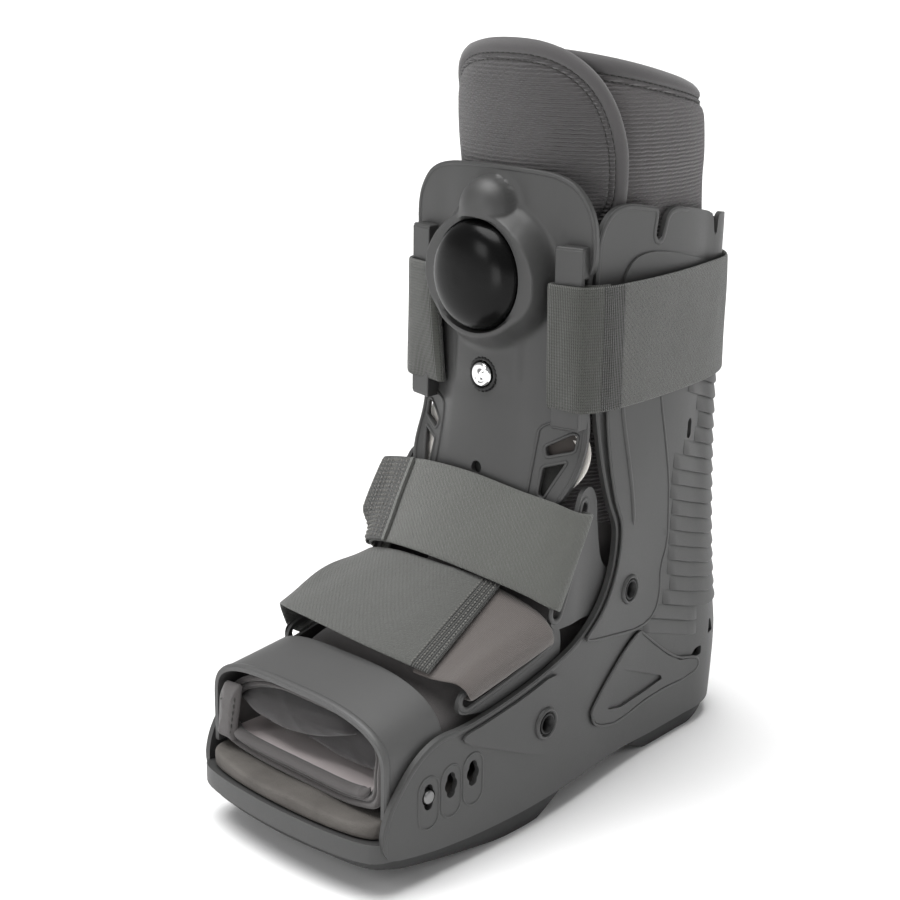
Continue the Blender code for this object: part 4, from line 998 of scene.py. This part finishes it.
def make_liner():
    turns = np.radians(np.arange(0.9, 360, 1.8))
    rows = [(RIM_Z - s, inside) for s, inside in RIM_PROFILE]
    rows += [(z, 0.0) for z in np.concatenate([np.arange(330, 130, -4.0), np.arange(128, 75.5, -1.6), [75]])]
    outer = [ring_at(np.full(len(turns), z), turns, inside) for z, inside in rows]
    last = np.full(len(turns), 75.0)
    sway = 0.6 * np.sin(3 * turns + 0.6) + 0.4 * np.sin(7 * turns)
    toe = [ring_at(last, turns, inside + 0.4 * np.cos(5 * turns)) - stack(0, out * (1 + 0.15 * sway), 0)
           for inside, out in TOE_RIM]
    walls = np.array(LINER_RINGS[::-1], float)
    inner = []
    for z, inside in rows[::-1]:
        wall = float(through(walls[:, 1], walls[:, 6], np.array([z]))[0])
        inner.append(ring_at(np.full(len(turns), z), turns, max(wall - inside * 0.5, wall / 2 + 0.2)))
    made = add("liner_knit", *loft(outer + toe + inner, ring_ends=True), KNIT, replaces=["liner"], sharp=80)
    toe_part(made)
    parts = []
    for s in (9.0, 12.0):
        path = [(angle, RIM_Z - s) for angle in range(40, 321, 4)]
        parts.append(stitches(lambda u, v, n: ring_at(v, np.radians(u), 1.2 - n), path))
    add("liner_stitches", *merged(parts), THREAD)


def toe_part(made):
    """The foot of the bootie is a smoother cloth than the ribbed calf part; the upward-facing floor inside
    the toe gets a pale copy of the jersey as painted light.
    """
    made.data.materials.append(TOE_JERSEY)
    made.data.materials.append(JERSEY)
    made.data.materials.append(LIT_FLOOR_JERSEY)
    for face in made.data.polygons:
        # Painted light: faces inside the toe that face upwards get the pale jersey copy
        if -0.1285 < face.center.y < -0.02 and face.normal.z > 0.6 and face.center.z < 0.052:
            face.material_index = 3
        elif face.center.y < -0.05 or face.center.z < 0.13:
            face.material_index = 1
        elif face.center.z > 0.318 and rim_share(face.center) < 9.2:
            face.material_index = 2


def upright_place(y, lean=0.0):
    """An upright place at the toe opening that faces the toe, and leans back with its height."""
    return lambda x, z, n: stack(x, y - n + lean * (z - 50), z)


def make_toe_folds():
    """The loose folds of the bootie's lining inside its open toe, and the rolled lower edge."""
    for name, outline, y, lean, thick, centre in (
            ("liner_top_fold", ((-50, 60), (-40, 55.6), (-17, 53.4), (6, 56.4), (29, 64.2), (24, 70.4),
                                (-20, 70.4), (-44, 66)), -121.0, 0.42, 5.0, (-14, 63)),
            ("liner_right_fold", ((-12, 50.6), (5, 47.8), (24, 47.0), (42, 48.4), (49.5, 54), (47, 62),
                                  (27, 67.5), (6, 63), (-5, 56)), -110.0, 0.3, 6.0, (22, 57)),
            ("liner_left_fold", ((-55.0, 41), (-42.6, 41), (-41.2, 56), (-39.8, 69.5), (-51.5, 68.5),
                                 (-55.0, 61)), -127.2, 0.08, 2.8, (-48.0, 56))):
        edge = rounded(outline, 1.8 if lean < 0.1 else 9.0, 1.2)
        tops = np.array((0.0, 0.3, 0.55, 0.75, 0.9, 1.0)) * thick

        def place(x, z, n, y=y, lean=lean):
            crease = 0.3 * np.sin(x / 5.4 + z / 3.0) * np.clip(n / 3, 0, 1)
            return upright_place(y, lean)(x, z, n - np.abs(crease))

        # The two leaning inner folds get the darker jersey copy as painted shade; the left fold at the
        # opening keeps the toe jersey
        made = add(name, *cushion(edge, centre, (0, 0.3, 1.0, 2.0, 3.2, 4.6), (0.35, 0.65, 0.88), tops,
                                  (-0.2, -0.4, -0.6, -0.7), place),
                   SHADED_JERSEY if lean > 0.1 else TOE_JERSEY, sharp=80)
    turns = np.radians(np.arange(106, 264, 2.0))
    middle = ring_at(np.full(len(turns), 75.0), turns, 6.6)
    sag = 0.5 * np.sin(turns * 7)
    middle = middle - stack(0, 1.4 + sag * 0.5, -sag * 0.3)
    along = unit(np.gradient(middle, axis=0))
    side = unit(np.cross(along, (0, 1, 0)))
    ends = np.clip(np.minimum(np.arange(len(turns)) / 14, np.arange(len(turns))[::-1] / 5), 0.04, 1) ** 0.7
    rings = []
    for turn in np.linspace(0, 2 * math.pi, 13)[:-1]:
        reach = 2.7 * ends[:, None]
        rings.append(middle + reach * (math.cos(turn) * side + 1.15 * math.sin(turn) * np.array((0, 1.0, 0))))
    made = add("liner_toe_roll", *loft(np.stack(rings, 1)), TOE_JERSEY, sharp=80)
    seam = upright_place(-127.2, 0.08)
    parts = [stitches(raised(seam, 2.0), line, radius=0.5)
             for line in (((-44.6, 43.5), (-43.4, 55), (-42.0, 66.0)),
                          ((-53.4, 59.0), (-48, 61.8), (-42.8, 62.4)))]
    add("liner_fold_stitches", *merged(parts), THREAD)


def rim_share(centre):
    """How far a point lies under the bootie's slanting top edge, in millimetres."""
    y = centre.y / MM + MIDDLE_Y
    front_y, front_z, back_y, back_z = LINER_RINGS[0][:4]
    return front_z - (y - front_y) * (front_z - back_z) / (back_y - front_y) - centre.z / MM


def make_flap():
    centre = (0, 290)
    seams = (7.3, 10.3)
    outline = resampled(FLAP_EDGE, 1.6, True, 2)
    distances = (0, 0.3, 1.0, 2.2, 3.8, 5.4, 6.6, 7.3, 7.9, 8.8, 9.7, 10.3, 11.0, 12.5, 15, 18)
    tops = (3.4, 4.9, 6.0, 6.9, 7.3, 7.0, 6.2, 5.2, 5.9, 6.4, 5.9, 5.1, 5.9, 6.5, 6.8, 6.8)
    shares = (0.12, 0.3, 0.5, 0.7, 0.85, 0.95)
    # The flap uses the darker copy of the knit as painted shade
    made = add("flap_knit",
               *cushion(outline, centre, distances, shares, tops, (3.0, 1.9, 1.3, 1.0), flap_place),
               SHADED_FLAP_KNIT, replaces=["liner_front_flap"], sharp=80)
    made.data.materials.append(JERSEY)
    edge_row = len(shares) + len(distances) - 1
    for k in range(len(outline) * (edge_row - 7), len(outline) * (edge_row + 7)):
        made.data.polygons[k].material_index = 1
    loops = [np.roll(loop, -int(np.argmin(loop[:, 1])), 0)
             for loop in rings_inward(outline, centre, seams, ())]
    parts = [stitches(raised(flap_place, 5.3), loop[loop[:, 1] > 285]) for loop in loops]
    add("flap_stitches", *merged(parts), THREAD)


# The front panel with its housing, valve, ears and windows

def panel_rise(x, z):
    """Height of the housing round the bulb and of the dome over it, above the panel's face."""
    reach = np.hypot(x, z - BULB_Z)
    housing = (panel_surface(x, z)[:, 1] - RIM_Y) * ramp(HOUSING_SLOPE, reach)
    over = np.hypot(x, z - DOME_Z) / (DOME_RADIUS + 1)
    dome = DOME_HEIGHT * np.sqrt(np.clip(1 - np.minimum(over, 1) ** 2.1, 0, 1))
    dome = dome + 1.3 * ease(1, 0, (over - 0.9) / 0.4)
    neck = 1.5
    both = np.log(np.exp(housing / neck) + np.exp(dome / neck) - 1) * neck
    column = 1.6 * ease(1, 0, (np.abs(x) - 17) / 6) * ease(0, 1, (z - 196) / 12) * ease(1, 0, (z - 236) / 6)
    return both + column


def make_panel():
    edge = resampled(mirrored(PANEL_EDGE), 1.8, True, 2)
    centre = np.array((0, BULB_Z))
    towards = edge - centre
    reach = np.linalg.norm(towards, axis=1)
    heading = towards / reach[:, None]
    loops = []
    for share in np.linspace(0, 1, 44):
        radius = MOUTH_RADIUS + (reach - MOUTH_RADIUS) * (share ** 1.7)
        loops.append(centre + heading * radius[:, None])
    front = [panel_point(loop[:, 0], loop[:, 1], panel_rise(loop[:, 0], loop[:, 1])) for loop in loops]
    throat = []
    for radius, drop in THROAT:
        ring = centre + heading * radius
        throat.append(stack(ring[:, 0], RIM_Y + drop, ring[:, 1]))
    back = [panel_point(loop[:, 0], loop[:, 1], np.full(len(loop), -PANEL_WALL)) for loop in loops[::-3]]
    # The panel, its frames and edge bead use the darker copy of the grey plastic: painted shade on the
    # front-facing faces
    cut_panel(add("panel_plate", *loft(throat + front + back, ring_ends=True), SHADED_PANEL_PLASTIC, sharp=50,
                  replaces=["front_panel"]))
    frames = []
    for side in (1, -1):
        for window in (WINDOW_TOP, WINDOW_LOW):
            outline = rounded([(side * x, z) for x, z in window], WINDOW_CORNER)
            frames.append(bead(outline, panel_point, 0.8, 0.6, True, 1.0, ease_corners=0))
        for line, half_width, height in ((WINDOW_FRAME, 0.7, 0.9), (WINDOW_SIDE, 0.9, 0.8)):
            frames.append(bead([(side * x, z) for x, z in line], panel_point, half_width, height, False, 1.5))
    add("panel_frames", *merged(frames), SHADED_PANEL_PLASTIC)
    inner_edge = moved_across(mirrored(PANEL_EDGE), -1.1)
    add("panel_edge_bead", *bead(inner_edge, panel_point, 1.1, 0.5, True, 2.0), SHADED_PANEL_PLASTIC)
    make_ears()


def cut_panel(target):
    """Cut the windows and the two small holes."""
    shapes = [rounded([(side * x, z) for x, z in window], WINDOW_CORNER)
              for window in (WINDOW_TOP, WINDOW_LOW) for side in (1, -1)]
    shapes += [circle(0, VALVE_Z, 6.9, 40), circle(0, PANEL_HOLE_Z, 3.2, 28)]
    for shape in shapes:
        points, faces = loft([stack(shape[:, 0], y, shape[:, 1]) for y in (-40, 30)])
        mesh = bpy.data.meshes.new("cutter")
        mesh.from_pydata(in_metres(points).tolist(), [], faces)
        bm = bmesh.new()
        bm.from_mesh(mesh)
        bmesh.ops.recalc_face_normals(bm, faces=bm.faces[:])
        bm.to_mesh(mesh)
        bm.free()
        cutter = placed("cutter", mesh)
        cut = target.modifiers.new("cut", "BOOLEAN")
        cut.operation = "DIFFERENCE"
        cut.object = cutter
        cut.solver = "EXACT"
        graph = bpy.context.evaluated_depsgraph_get()
        result = bpy.data.meshes.new_from_object(target.evaluated_get(graph))
        target.modifiers.clear()
        target.data = result
        bpy.data.objects.remove(cutter, do_unlink=True)
    while len(target.data.materials) > 1:
        target.data.materials.pop()
    target.data.shade_smooth()
    target.data.set_sharp_from_angle(angle=math.radians(50))


def make_ears():
    for side, hand in HANDS:
        parts = []
        for plan, low, high, seated in ((EAR_BAR, EAR_LOW + 1, EAR_HIGH - 1, False),
                                        (EAR_BLOCK, EAR_LOW, EAR_LOW + 9, True),
                                        (EAR_BLOCK, EAR_HIGH - 14.5, EAR_HIGH, True)):
            rings = []
            for z in np.linspace(low, high, 4):
                points = [(x, y) for x, y in plan]
                if seated:
                    seat = panel_point(np.array([plan[1][0] - 1.0, plan[0][0] + 1.0]), np.array([z, z]),
                                       np.array([-1.2, -1.2]))
                    points += [(p[0], p[1]) for p in seat]
                rings.append([(side * x, y, z) for x, y in points])
            parts.append(loft(rings))
        # The ears use the panel's darker copy of the grey plastic: painted shade
        add(f"panel_ear_{hand}", *merged(parts), SHADED_PANEL_PLASTIC, bevel=0.9)


def make_cell():
    outline = resampled(mirrored(CELL_EDGE), 2.0, True, 2)
    distances = (0, 0.4, 1.5, 3.0, 4.0, 6, 9)
    tops = (-1.6, -1.2, -1.0, -1.1, -0.7, -0.1, 0.0)
    bottoms = (-1.8, -2.2, -2.4, -2.3, -2.6, -2.9, -3.0)

    def place(u, v, n):
        crease = 0.35 * np.sin(u / 4.5 + 0.8 * np.sin(v / 7)) * np.clip((n + 1.6) / 1.6, 0, 1)
        return panel_point(u, v, -PANEL_WALL - 0.8 + n - np.abs(crease))

    made = add("air_cell_film",
               *cushion(outline, (0, 183), distances, (0.3, 0.6, 0.85, 0.95), tops, bottoms, place),
               FILM, replaces=["air_cell"], sharp=70)
    made.data.materials.append(DARK_WEBBING)
    made.data.materials.append(TAB)
    for face in made.data.polygons:
        x, z = face.center.x / MM, face.center.z / MM
        if 24 < x < 48.5 - 0.45 * abs(z - 172) or (abs(x) < 7 and z < 168):
            face.material_index = 2 if z > 169.5 else 1


def make_bulb():
    profile = eased([(BULB_RADIUS - 1.2, 0), (BULB_RADIUS - 0.3, 0.6), (BULB_RADIUS, 2.0), (BULB_RADIUS, 8.4),
                     (BULB_RADIUS - 0.2, 10.2), (24.4, 12.6), (21.6, 15.4), (17.0, 17.7), (11.4, 19.2),
                     (5.4, 20.0), (1.0, 20.1)])
    add("bulb_rubber", *turned(profile, 96, (0, BULB_Z), flat_place(BULB_BASE_Y), ring_ends=False), BULB,
        replaces=["pump_bulb"], sharp=80)
    face_y = float(panel_surface(np.zeros(1), np.array([VALVE_Z]))[0, 1])
    sides = 96
    turn = np.arange(sides) * 2 * math.pi / sides
    rings = []
    for radius, height in ((8.3, 0.2), (8.5, 0.5), (8.5, 1.4), (8.1, 2.0), (7.4, 2.2), (6.8, 2.0), (6.6, 1.5),
                           (6.6, 0.2)):
        grip = 1 + (0.022 * np.sign(np.sin(turn * 24)) if radius > 8 else 0)
        rings.append(panel_point(radius * grip * np.cos(turn), VALVE_Z + radius * grip * np.sin(turn),
                                 np.full(sides, height)))
    add("valve_ring", *loft(rings, ring_ends=True), BLACK, replaces=["valve_collar"], sharp=30)
    button = eased([(5.2, -0.9), (5.8, -0.6), (6.1, 0.0), (6.1, 1.6), (6.0, 2.4), (5.5, 3.1), (4.7, 3.5),
                    (3.9, 3.45), (3.3, 3.2), (2.6, 3.4), (1.7, 3.9), (0.8, 4.3), (0.2, 4.4)], 3)
    add("valve_cap", *turned(button, 64, (0, VALVE_Z), flat_place(face_y), ring_ends=False), CHROME,
        body=VALVE, replaces=["valve_button"], sharp=60)


# The toe guard, the strap plates, rivets and studs

def make_guard():
    outline = resampled([(-100, GUARD_FRONT_Y), (100, GUARD_FRONT_Y), (100, GUARD_REAR_Y),
                         (-100, GUARD_REAR_Y)], 2.0, True, 0)
    # The guard and its lip use the lighter copy of the grey plastic: painted light on the top-facing arch
    plate("guard_arch", outline, [], -GUARD_WALL, 0.0, guard_place, LIT_GUARD_PLASTIC, pitch=3.0, bevel=0.9,
          replaces=["toe_guard"])
    line = [(turn, GUARD_FRONT_Y + 2.0) for turn in np.linspace(-98, 98, 60)]
    add("guard_lip", *bead(line, guard_place, 1.7, 0.6, False, 2.0), LIT_GUARD_PLASTIC)


def plate_place(word, side):
    if word == "ankle":
        return lambda y, z, n: stack(side * (ramp(ANKLE_PLATE_X, y) + n), y, z)
    return lambda y, z, n: shell_point(side * shell_run(y), z, n - SHELL_WALL - PLATE_CLEAR)


def make_plates():
    for word, shape, ends, rivet in (("ankle", ANKLE_PLATE, ANKLE_SLOT, ANKLE_RIVET),
                                     ("instep", INSTEP_PLATE, INSTEP_SLOT, INSTEP_RIVET)):
        for side, hand in HANDS:
            holes = [slot_outline(*ends, PLATE_SLOT_HALF), circle(*rivet, 4.3, 24)]
            place = plate_place(word, side)
            outline = resampled(shape, 1.6, True, 2)
            plate(f"{word}_plate_{hand}", outline, holes, -LOOP_WALL, 0.0, place, PLASTIC,
                  pitch=4.0, bevel=0.8, replaces=[f"{word}_loop_{hand}"])
            rim = slot_outline(*ends, PLATE_SLOT_HALF + 1.5)
            add(f"{word}_plate_rim_{hand}", *bead(rim, place, 1.3, 0.7, True, 1.4, ease_corners=0), PLASTIC)


def make_rivets():
    profile = [(5.2, 1.3), (5.3, 2.2), (5.0, 2.8), (4.4, 3.0), (3.8, 2.5), (3.2, 1.2), (2.7, -0.8),
               (2.2, -6.2), (3.1, -6.2), (3.7, 1.3)]
    for rivet, word in ((INSTEP_RIVET, "instep"), (ANKLE_RIVET, "ankle")):
        for side, hand in HANDS:
            add(f"eyelet_{word}_{hand}", *turned(profile, 36, rivet, side_place(side)), BLACK,
                replaces=[f"rivet_{word}_{hand}"])
    profile = eased([(2.9, -3.0), (3.1, -1.0), (3.1, 0.1), (2.7, 0.7), (1.7, 1.0), (0.3, 1.1)], 3)
    for side, hand in HANDS:
        add(f"stud_{hand}", *turned(profile, 32, TOE_SLOTS[0], side_place(side), ring_ends=False),
            LIGHT_METAL, replaces=[f"toe_stud_{hand}"])


# The straps

def strap(name, place, along, material, width, length, rests_on, replaces, ripple=0.35, bands=()):
    """A strap of cloth over a surface, with round edges and a slight ripple. A band has its own material."""
    count = 26
    across = np.concatenate([[0, 0.004, 0.016], np.linspace(0.04, 0.96, count), [0.984, 0.996, 1.0]])
    top = np.concatenate([[-0.55, -0.25, -0.06], np.zeros(count), [-0.06, -0.25, -0.55]]) * STRAP_WALL
    ring_v = np.concatenate([across, across[::-1]])
    ring_n = np.concatenate([top, -STRAP_WALL - top[::-1]])
    u = np.repeat(along, len(ring_v))
    v = np.tile(ring_v, len(along))
    n = np.tile(ring_n, len(along))
    wave_n = (ripple * (np.sin(u * 2.1 + v * 3.0) * 0.5 + np.sin(u * 5.3 - v * 6.1 + 1.0) * 0.3)
              * np.sin(math.pi * v))
    points = place(u, v, n + wave_n).reshape(len(along), len(ring_v), 3)
    run = run_of(points[:, len(across) // 2])
    uvs = np.stack([np.repeat(run, len(ring_v)), v * width], 1)
    made = add(name, *loft(points), material, replaces=replaces, sharp=70, uvs=uvs)
    for low, high, other in bands:
        if other.name not in [m.name for m in made.data.materials]:
            made.data.materials.append(other)
        which = [m.name for m in made.data.materials].index(other.name)
        for k, place_u in enumerate((along[:-1] + along[1:]) / 2):
            if low <= place_u <= high:
                for face in made.data.polygons[k * len(ring_v):(k + 1) * len(ring_v)]:
                    face.material_index = which
    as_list(rests_on)


def stitch_block(name, place, u_values, v_low, v_high, rows, radius=0.55):
    """Lines of short threads across a strap, side by side."""
    shares = np.array((0.24, 0.32, 0.5, 0.68, 0.76))
    sizes = radius * np.array((0.4, 0.9, 1.0, 0.9, 0.4))
    parts = []
    for u in u_values:
        path = np.stack([np.full(60, float(u)), np.linspace(v_low, v_high, 60)], 1)
        spots = place(path[:, 0], path[:, 1], np.full(60, 0.15))
        run = run_of(spots)
        parts += [thread(spots, run, (k + shares) * (run[-1] / rows), sizes) for k in range(rows)]
    add(name, *merged(parts), PALE_THREAD)


def calf_path():
    right = list(CALF_STRAP_PLAN)
    return np.array(right + [(-x, y) for x, y in reversed(right[:-1])], float)


def calf_surface(u, v):
    """The calf strap's middle surface: u is the place in its plan's list, v its height share."""
    path = calf_path()
    places = np.arange(len(path), dtype=float)
    x = through(places, path[:, 0], u)
    y = through(places, path[:, 1], u)
    return stack(x, y, CALF_STRAP_LOW + (CALF_STRAP_HIGH - CALF_STRAP_LOW) * v)


def calf_place(u, v, n):
    """Bulges a little at its lower edge where it leaves the right ear, and spreads there at the left one."""
    last = len(calf_path()) - 1
    near = np.minimum(u, last - u)
    bulge = (2.2 * np.exp(-((near - 6.6) / 1.3) ** 2) * (1 - v) ** 2
             + 1.8 * np.exp(-((u - 14) / 1.2) ** 2) * v ** 6)
    points = offset(calf_surface, u, v, -(n + bulge + STRAP_WALL / 2), 0.05)
    flare = ramp(((0, 0), (3, 5.5), (5, 7.5), (8, 1), (11, -5.0), (15, 0)), near) * (1 - v)
    flare = flare + ramp(((6, 0), (11, 2.2), (15, 0)), near) * v
    points[..., 0] += np.where(u > last / 2, flare, 0)
    return points


def instep_place(surface_of):
    """The instep strap stands up in a crown at its left bend."""
    def place(u, v, n):
        points = offset(surface_of, u, v, n, 0.02)
        points[..., 2] += 5.5 * np.exp(-((u - 4.1) / 1.1) ** 2) * np.sin(math.pi * np.clip(v, 0, 1)) ** 1.5
        return points
    return place


def fold_place(surface_of):
    """The ankle strap's folded end, on top of the strap, standing off towards its left bend."""
    def place(u, v, n):
        lift = 2.1 + 2.0 * ease(1, 0, (u - 2.4) / 1.6) * np.sin(math.pi * np.clip(v, 0, 1)) ** 0.6
        points = offset(surface_of, u, v, n + lift, 0.02)
        reach = ease(1, 0, (u - 2.5) / 1.9) * 5.5 * ease(0, 1, (v - 0.12) / 0.3)
        points[..., 0] -= reach
        points[..., 1] -= reach * 0.9
        return points
    return place


def length_of(place, along):
    points = place(along, np.full(len(along), 0.5), np.full(len(along), -STRAP_WALL / 2))
    return float(run_of(points)[-1])


def make_straps():
    last = len(calf_path()) - 1
    along = np.linspace(0, last, last * 6 + 1)
    width = CALF_STRAP_HIGH - CALF_STRAP_LOW
    start, end = CALF_BLOCK
    # The calf strap uses the darker loop fabric copy as painted shade
    strap("calf_strap_cloth", calf_place, along, SHADED_LOOP, width, length_of(calf_place, along),
          ["shell", "front_panel"], ["calf_strap"],
          bands=((-1, start, WEBBING), (start, end, DARK_WEBBING), (last - start, last + 1, WEBBING)))
    lines = np.linspace(start + 0.12, end - 0.12, 6)
    stitch_block("calf_strap_stitches", calf_place, lines, 0.02, 0.98, 23, 0.62)
    # The instep strap uses the darker loop fabric copy as painted shade; the ankle strap keeps the plain loop
    # fabric
    for name, table, material, bands, rests in (
            ("ankle_strap", ANKLE_STRAP, LOOP, (), ["ankle_loop_left", "ankle_loop_right"]),
            ("instep_strap", INSTEP_STRAP, SHADED_LOOP, ((9.52, 11, DARK_WEBBING),),
             ["instep_loop_left", "liner"]),
            ("instep_strap_tab", INSTEP_TAB, TAB, (), ["instep_loop_right", "liner"])):
        surface_of = strap_surface(table)
        count = len(table) - 1
        place = instep_place(surface_of) if name == "instep_strap" else normal_place(surface_of, 0.02)
        along = np.linspace(0, count, count * 7 + 1)
        rows = np.array(table, float)
        width = float(np.linalg.norm(rows[:, 3:] - rows[:, :3], axis=1).mean())
        strap(f"{name}_cloth", place, along, material, width, length_of(place, along), rests,
              [name], bands=bands)
        if name == "ankle_strap":
            folded = fold_place(surface_of)
            ends = np.linspace(2.5, 5.6, 26)
            strap("ankle_strap_fold", folded, ends, LOOP, width, length_of(folded, ends),
                  ["ankle_strap_cloth"], (), bands=((3.0, 5.45, DARK_WEBBING),))
            stitch_block("ankle_strap_stitches", folded, np.linspace(3.1, 5.38, 9), 0.03, 0.97, 18, 0.6)
        if name == "instep_strap":
            lines = np.linspace(count - 0.43, count - 0.07, 4)
            stitch_block("instep_strap_stitches", place, lines, 0.02, 0.98, 30, 0.5)


# Camera, light and floor, in metres

FLOOR_SIZE = 80
SUN_WAY = (0.12, 0.14, -1.0)
SUN_ENERGY = 3.8
SUN_SPREAD = 50
LIGHTS_AIM = (0, 0, 0.17)
LIGHTS = (("key", (-0.35, -1.2, 0.75), 0.4, 2.2), ("low", (0.3, -1.3, 0.2), 0.5, 2.5),
          ("edge", (0.9, 1.2, 0.5), 0.5, 2))
CAMERA_PLACE = (0.54563, -0.60072, 0.39624)
CAMERA_HEADING = 0.76788
CAMERA_TILT = 0.277654
CAMERA_ROLL = 0.012735
CAMERA_LENS = 69.516


def make_stage():
    bpy.ops.mesh.primitive_plane_add(size=FLOOR_SIZE)
    floor = bpy.context.object
    floor.name = "floor"
    material, s = surface("floor_paper", 0.9, specular=0.1)
    dress(s, blended(s.tree, (0.93, 0.93, 0.93), (0.95, 0.95, 0.95), noise(s.tree, s.coords, 3)), None,
          noise(s.tree, s.coords, 400), 0.02)
    floor.data.materials.append(material)
    world = bpy.data.worlds.new("studio")
    bpy.context.scene.world = world
    world.use_nodes = True
    tree = world.node_tree
    way = node(tree, "ShaderNodeTexCoord").outputs["Generated"]
    height = node(tree, "ShaderNodeSeparateXYZ", {"Vector": way})
    sky = node(tree, "ShaderNodeMapRange", {"Value": height.outputs["Z"], "From Min": 0.1, "From Max": 0.2,
                                            "To Min": 1.0, "To Max": 0.3})
    tree.links.new(sky.outputs["Result"], tree.nodes["Background"].inputs["Strength"])
    tree.nodes["Background"].inputs["Color"].default_value = (1, 1, 1, 1)
    sun = bpy.data.lights.new("window", "SUN")
    sun.energy = SUN_ENERGY
    sun.angle = math.radians(SUN_SPREAD)
    placed("window", sun).rotation_euler = Vector(SUN_WAY).to_track_quat("-Z", "Y").to_euler()
    for name, place, size, power in LIGHTS:
        light = bpy.data.lights.new(name, "AREA")
        light.shape = "SQUARE"
        light.size = size
        light.energy = power
        lamp = placed(name, light)
        lamp.location = place
        lamp.rotation_euler = (Vector(LIGHTS_AIM) - Vector(place)).to_track_quat("-Z", "Y").to_euler()
    bpy.context.scene.view_settings.view_transform = "Standard"


def make_camera():
    """The photograph's viewpoint: turned by heading round the boot, tilted down, with a slight roll."""
    right = Vector((math.cos(CAMERA_HEADING), math.sin(CAMERA_HEADING), 0))
    ahead = Vector((-math.sin(CAMERA_HEADING), math.cos(CAMERA_HEADING), 0))
    view = ahead * math.cos(CAMERA_TILT) - Vector((0, 0, 1)) * math.sin(CAMERA_TILT)
    up = ahead * math.sin(CAMERA_TILT) + Vector((0, 0, 1)) * math.cos(CAMERA_TILT)
    across = right * math.cos(CAMERA_ROLL) + up * math.sin(CAMERA_ROLL)
    over = up * math.cos(CAMERA_ROLL) - right * math.sin(CAMERA_ROLL)
    camera = bpy.data.cameras.new("camera")
    camera.lens = CAMERA_LENS
    camera.sensor_width = 36
    rig = placed("camera", camera)
    rig.matrix_world = Matrix.Translation(CAMERA_PLACE) @ Matrix((across, over, -view)).transposed().to_4x4()
    bpy.context.scene.camera = rig


make_shell()
make_ribs()
make_sole()
make_liner()
make_toe_folds()
make_flap()
make_panel()
make_cell()
make_bulb()
make_guard()
make_plates()
make_rivets()
make_straps()
make_stage()
make_camera()
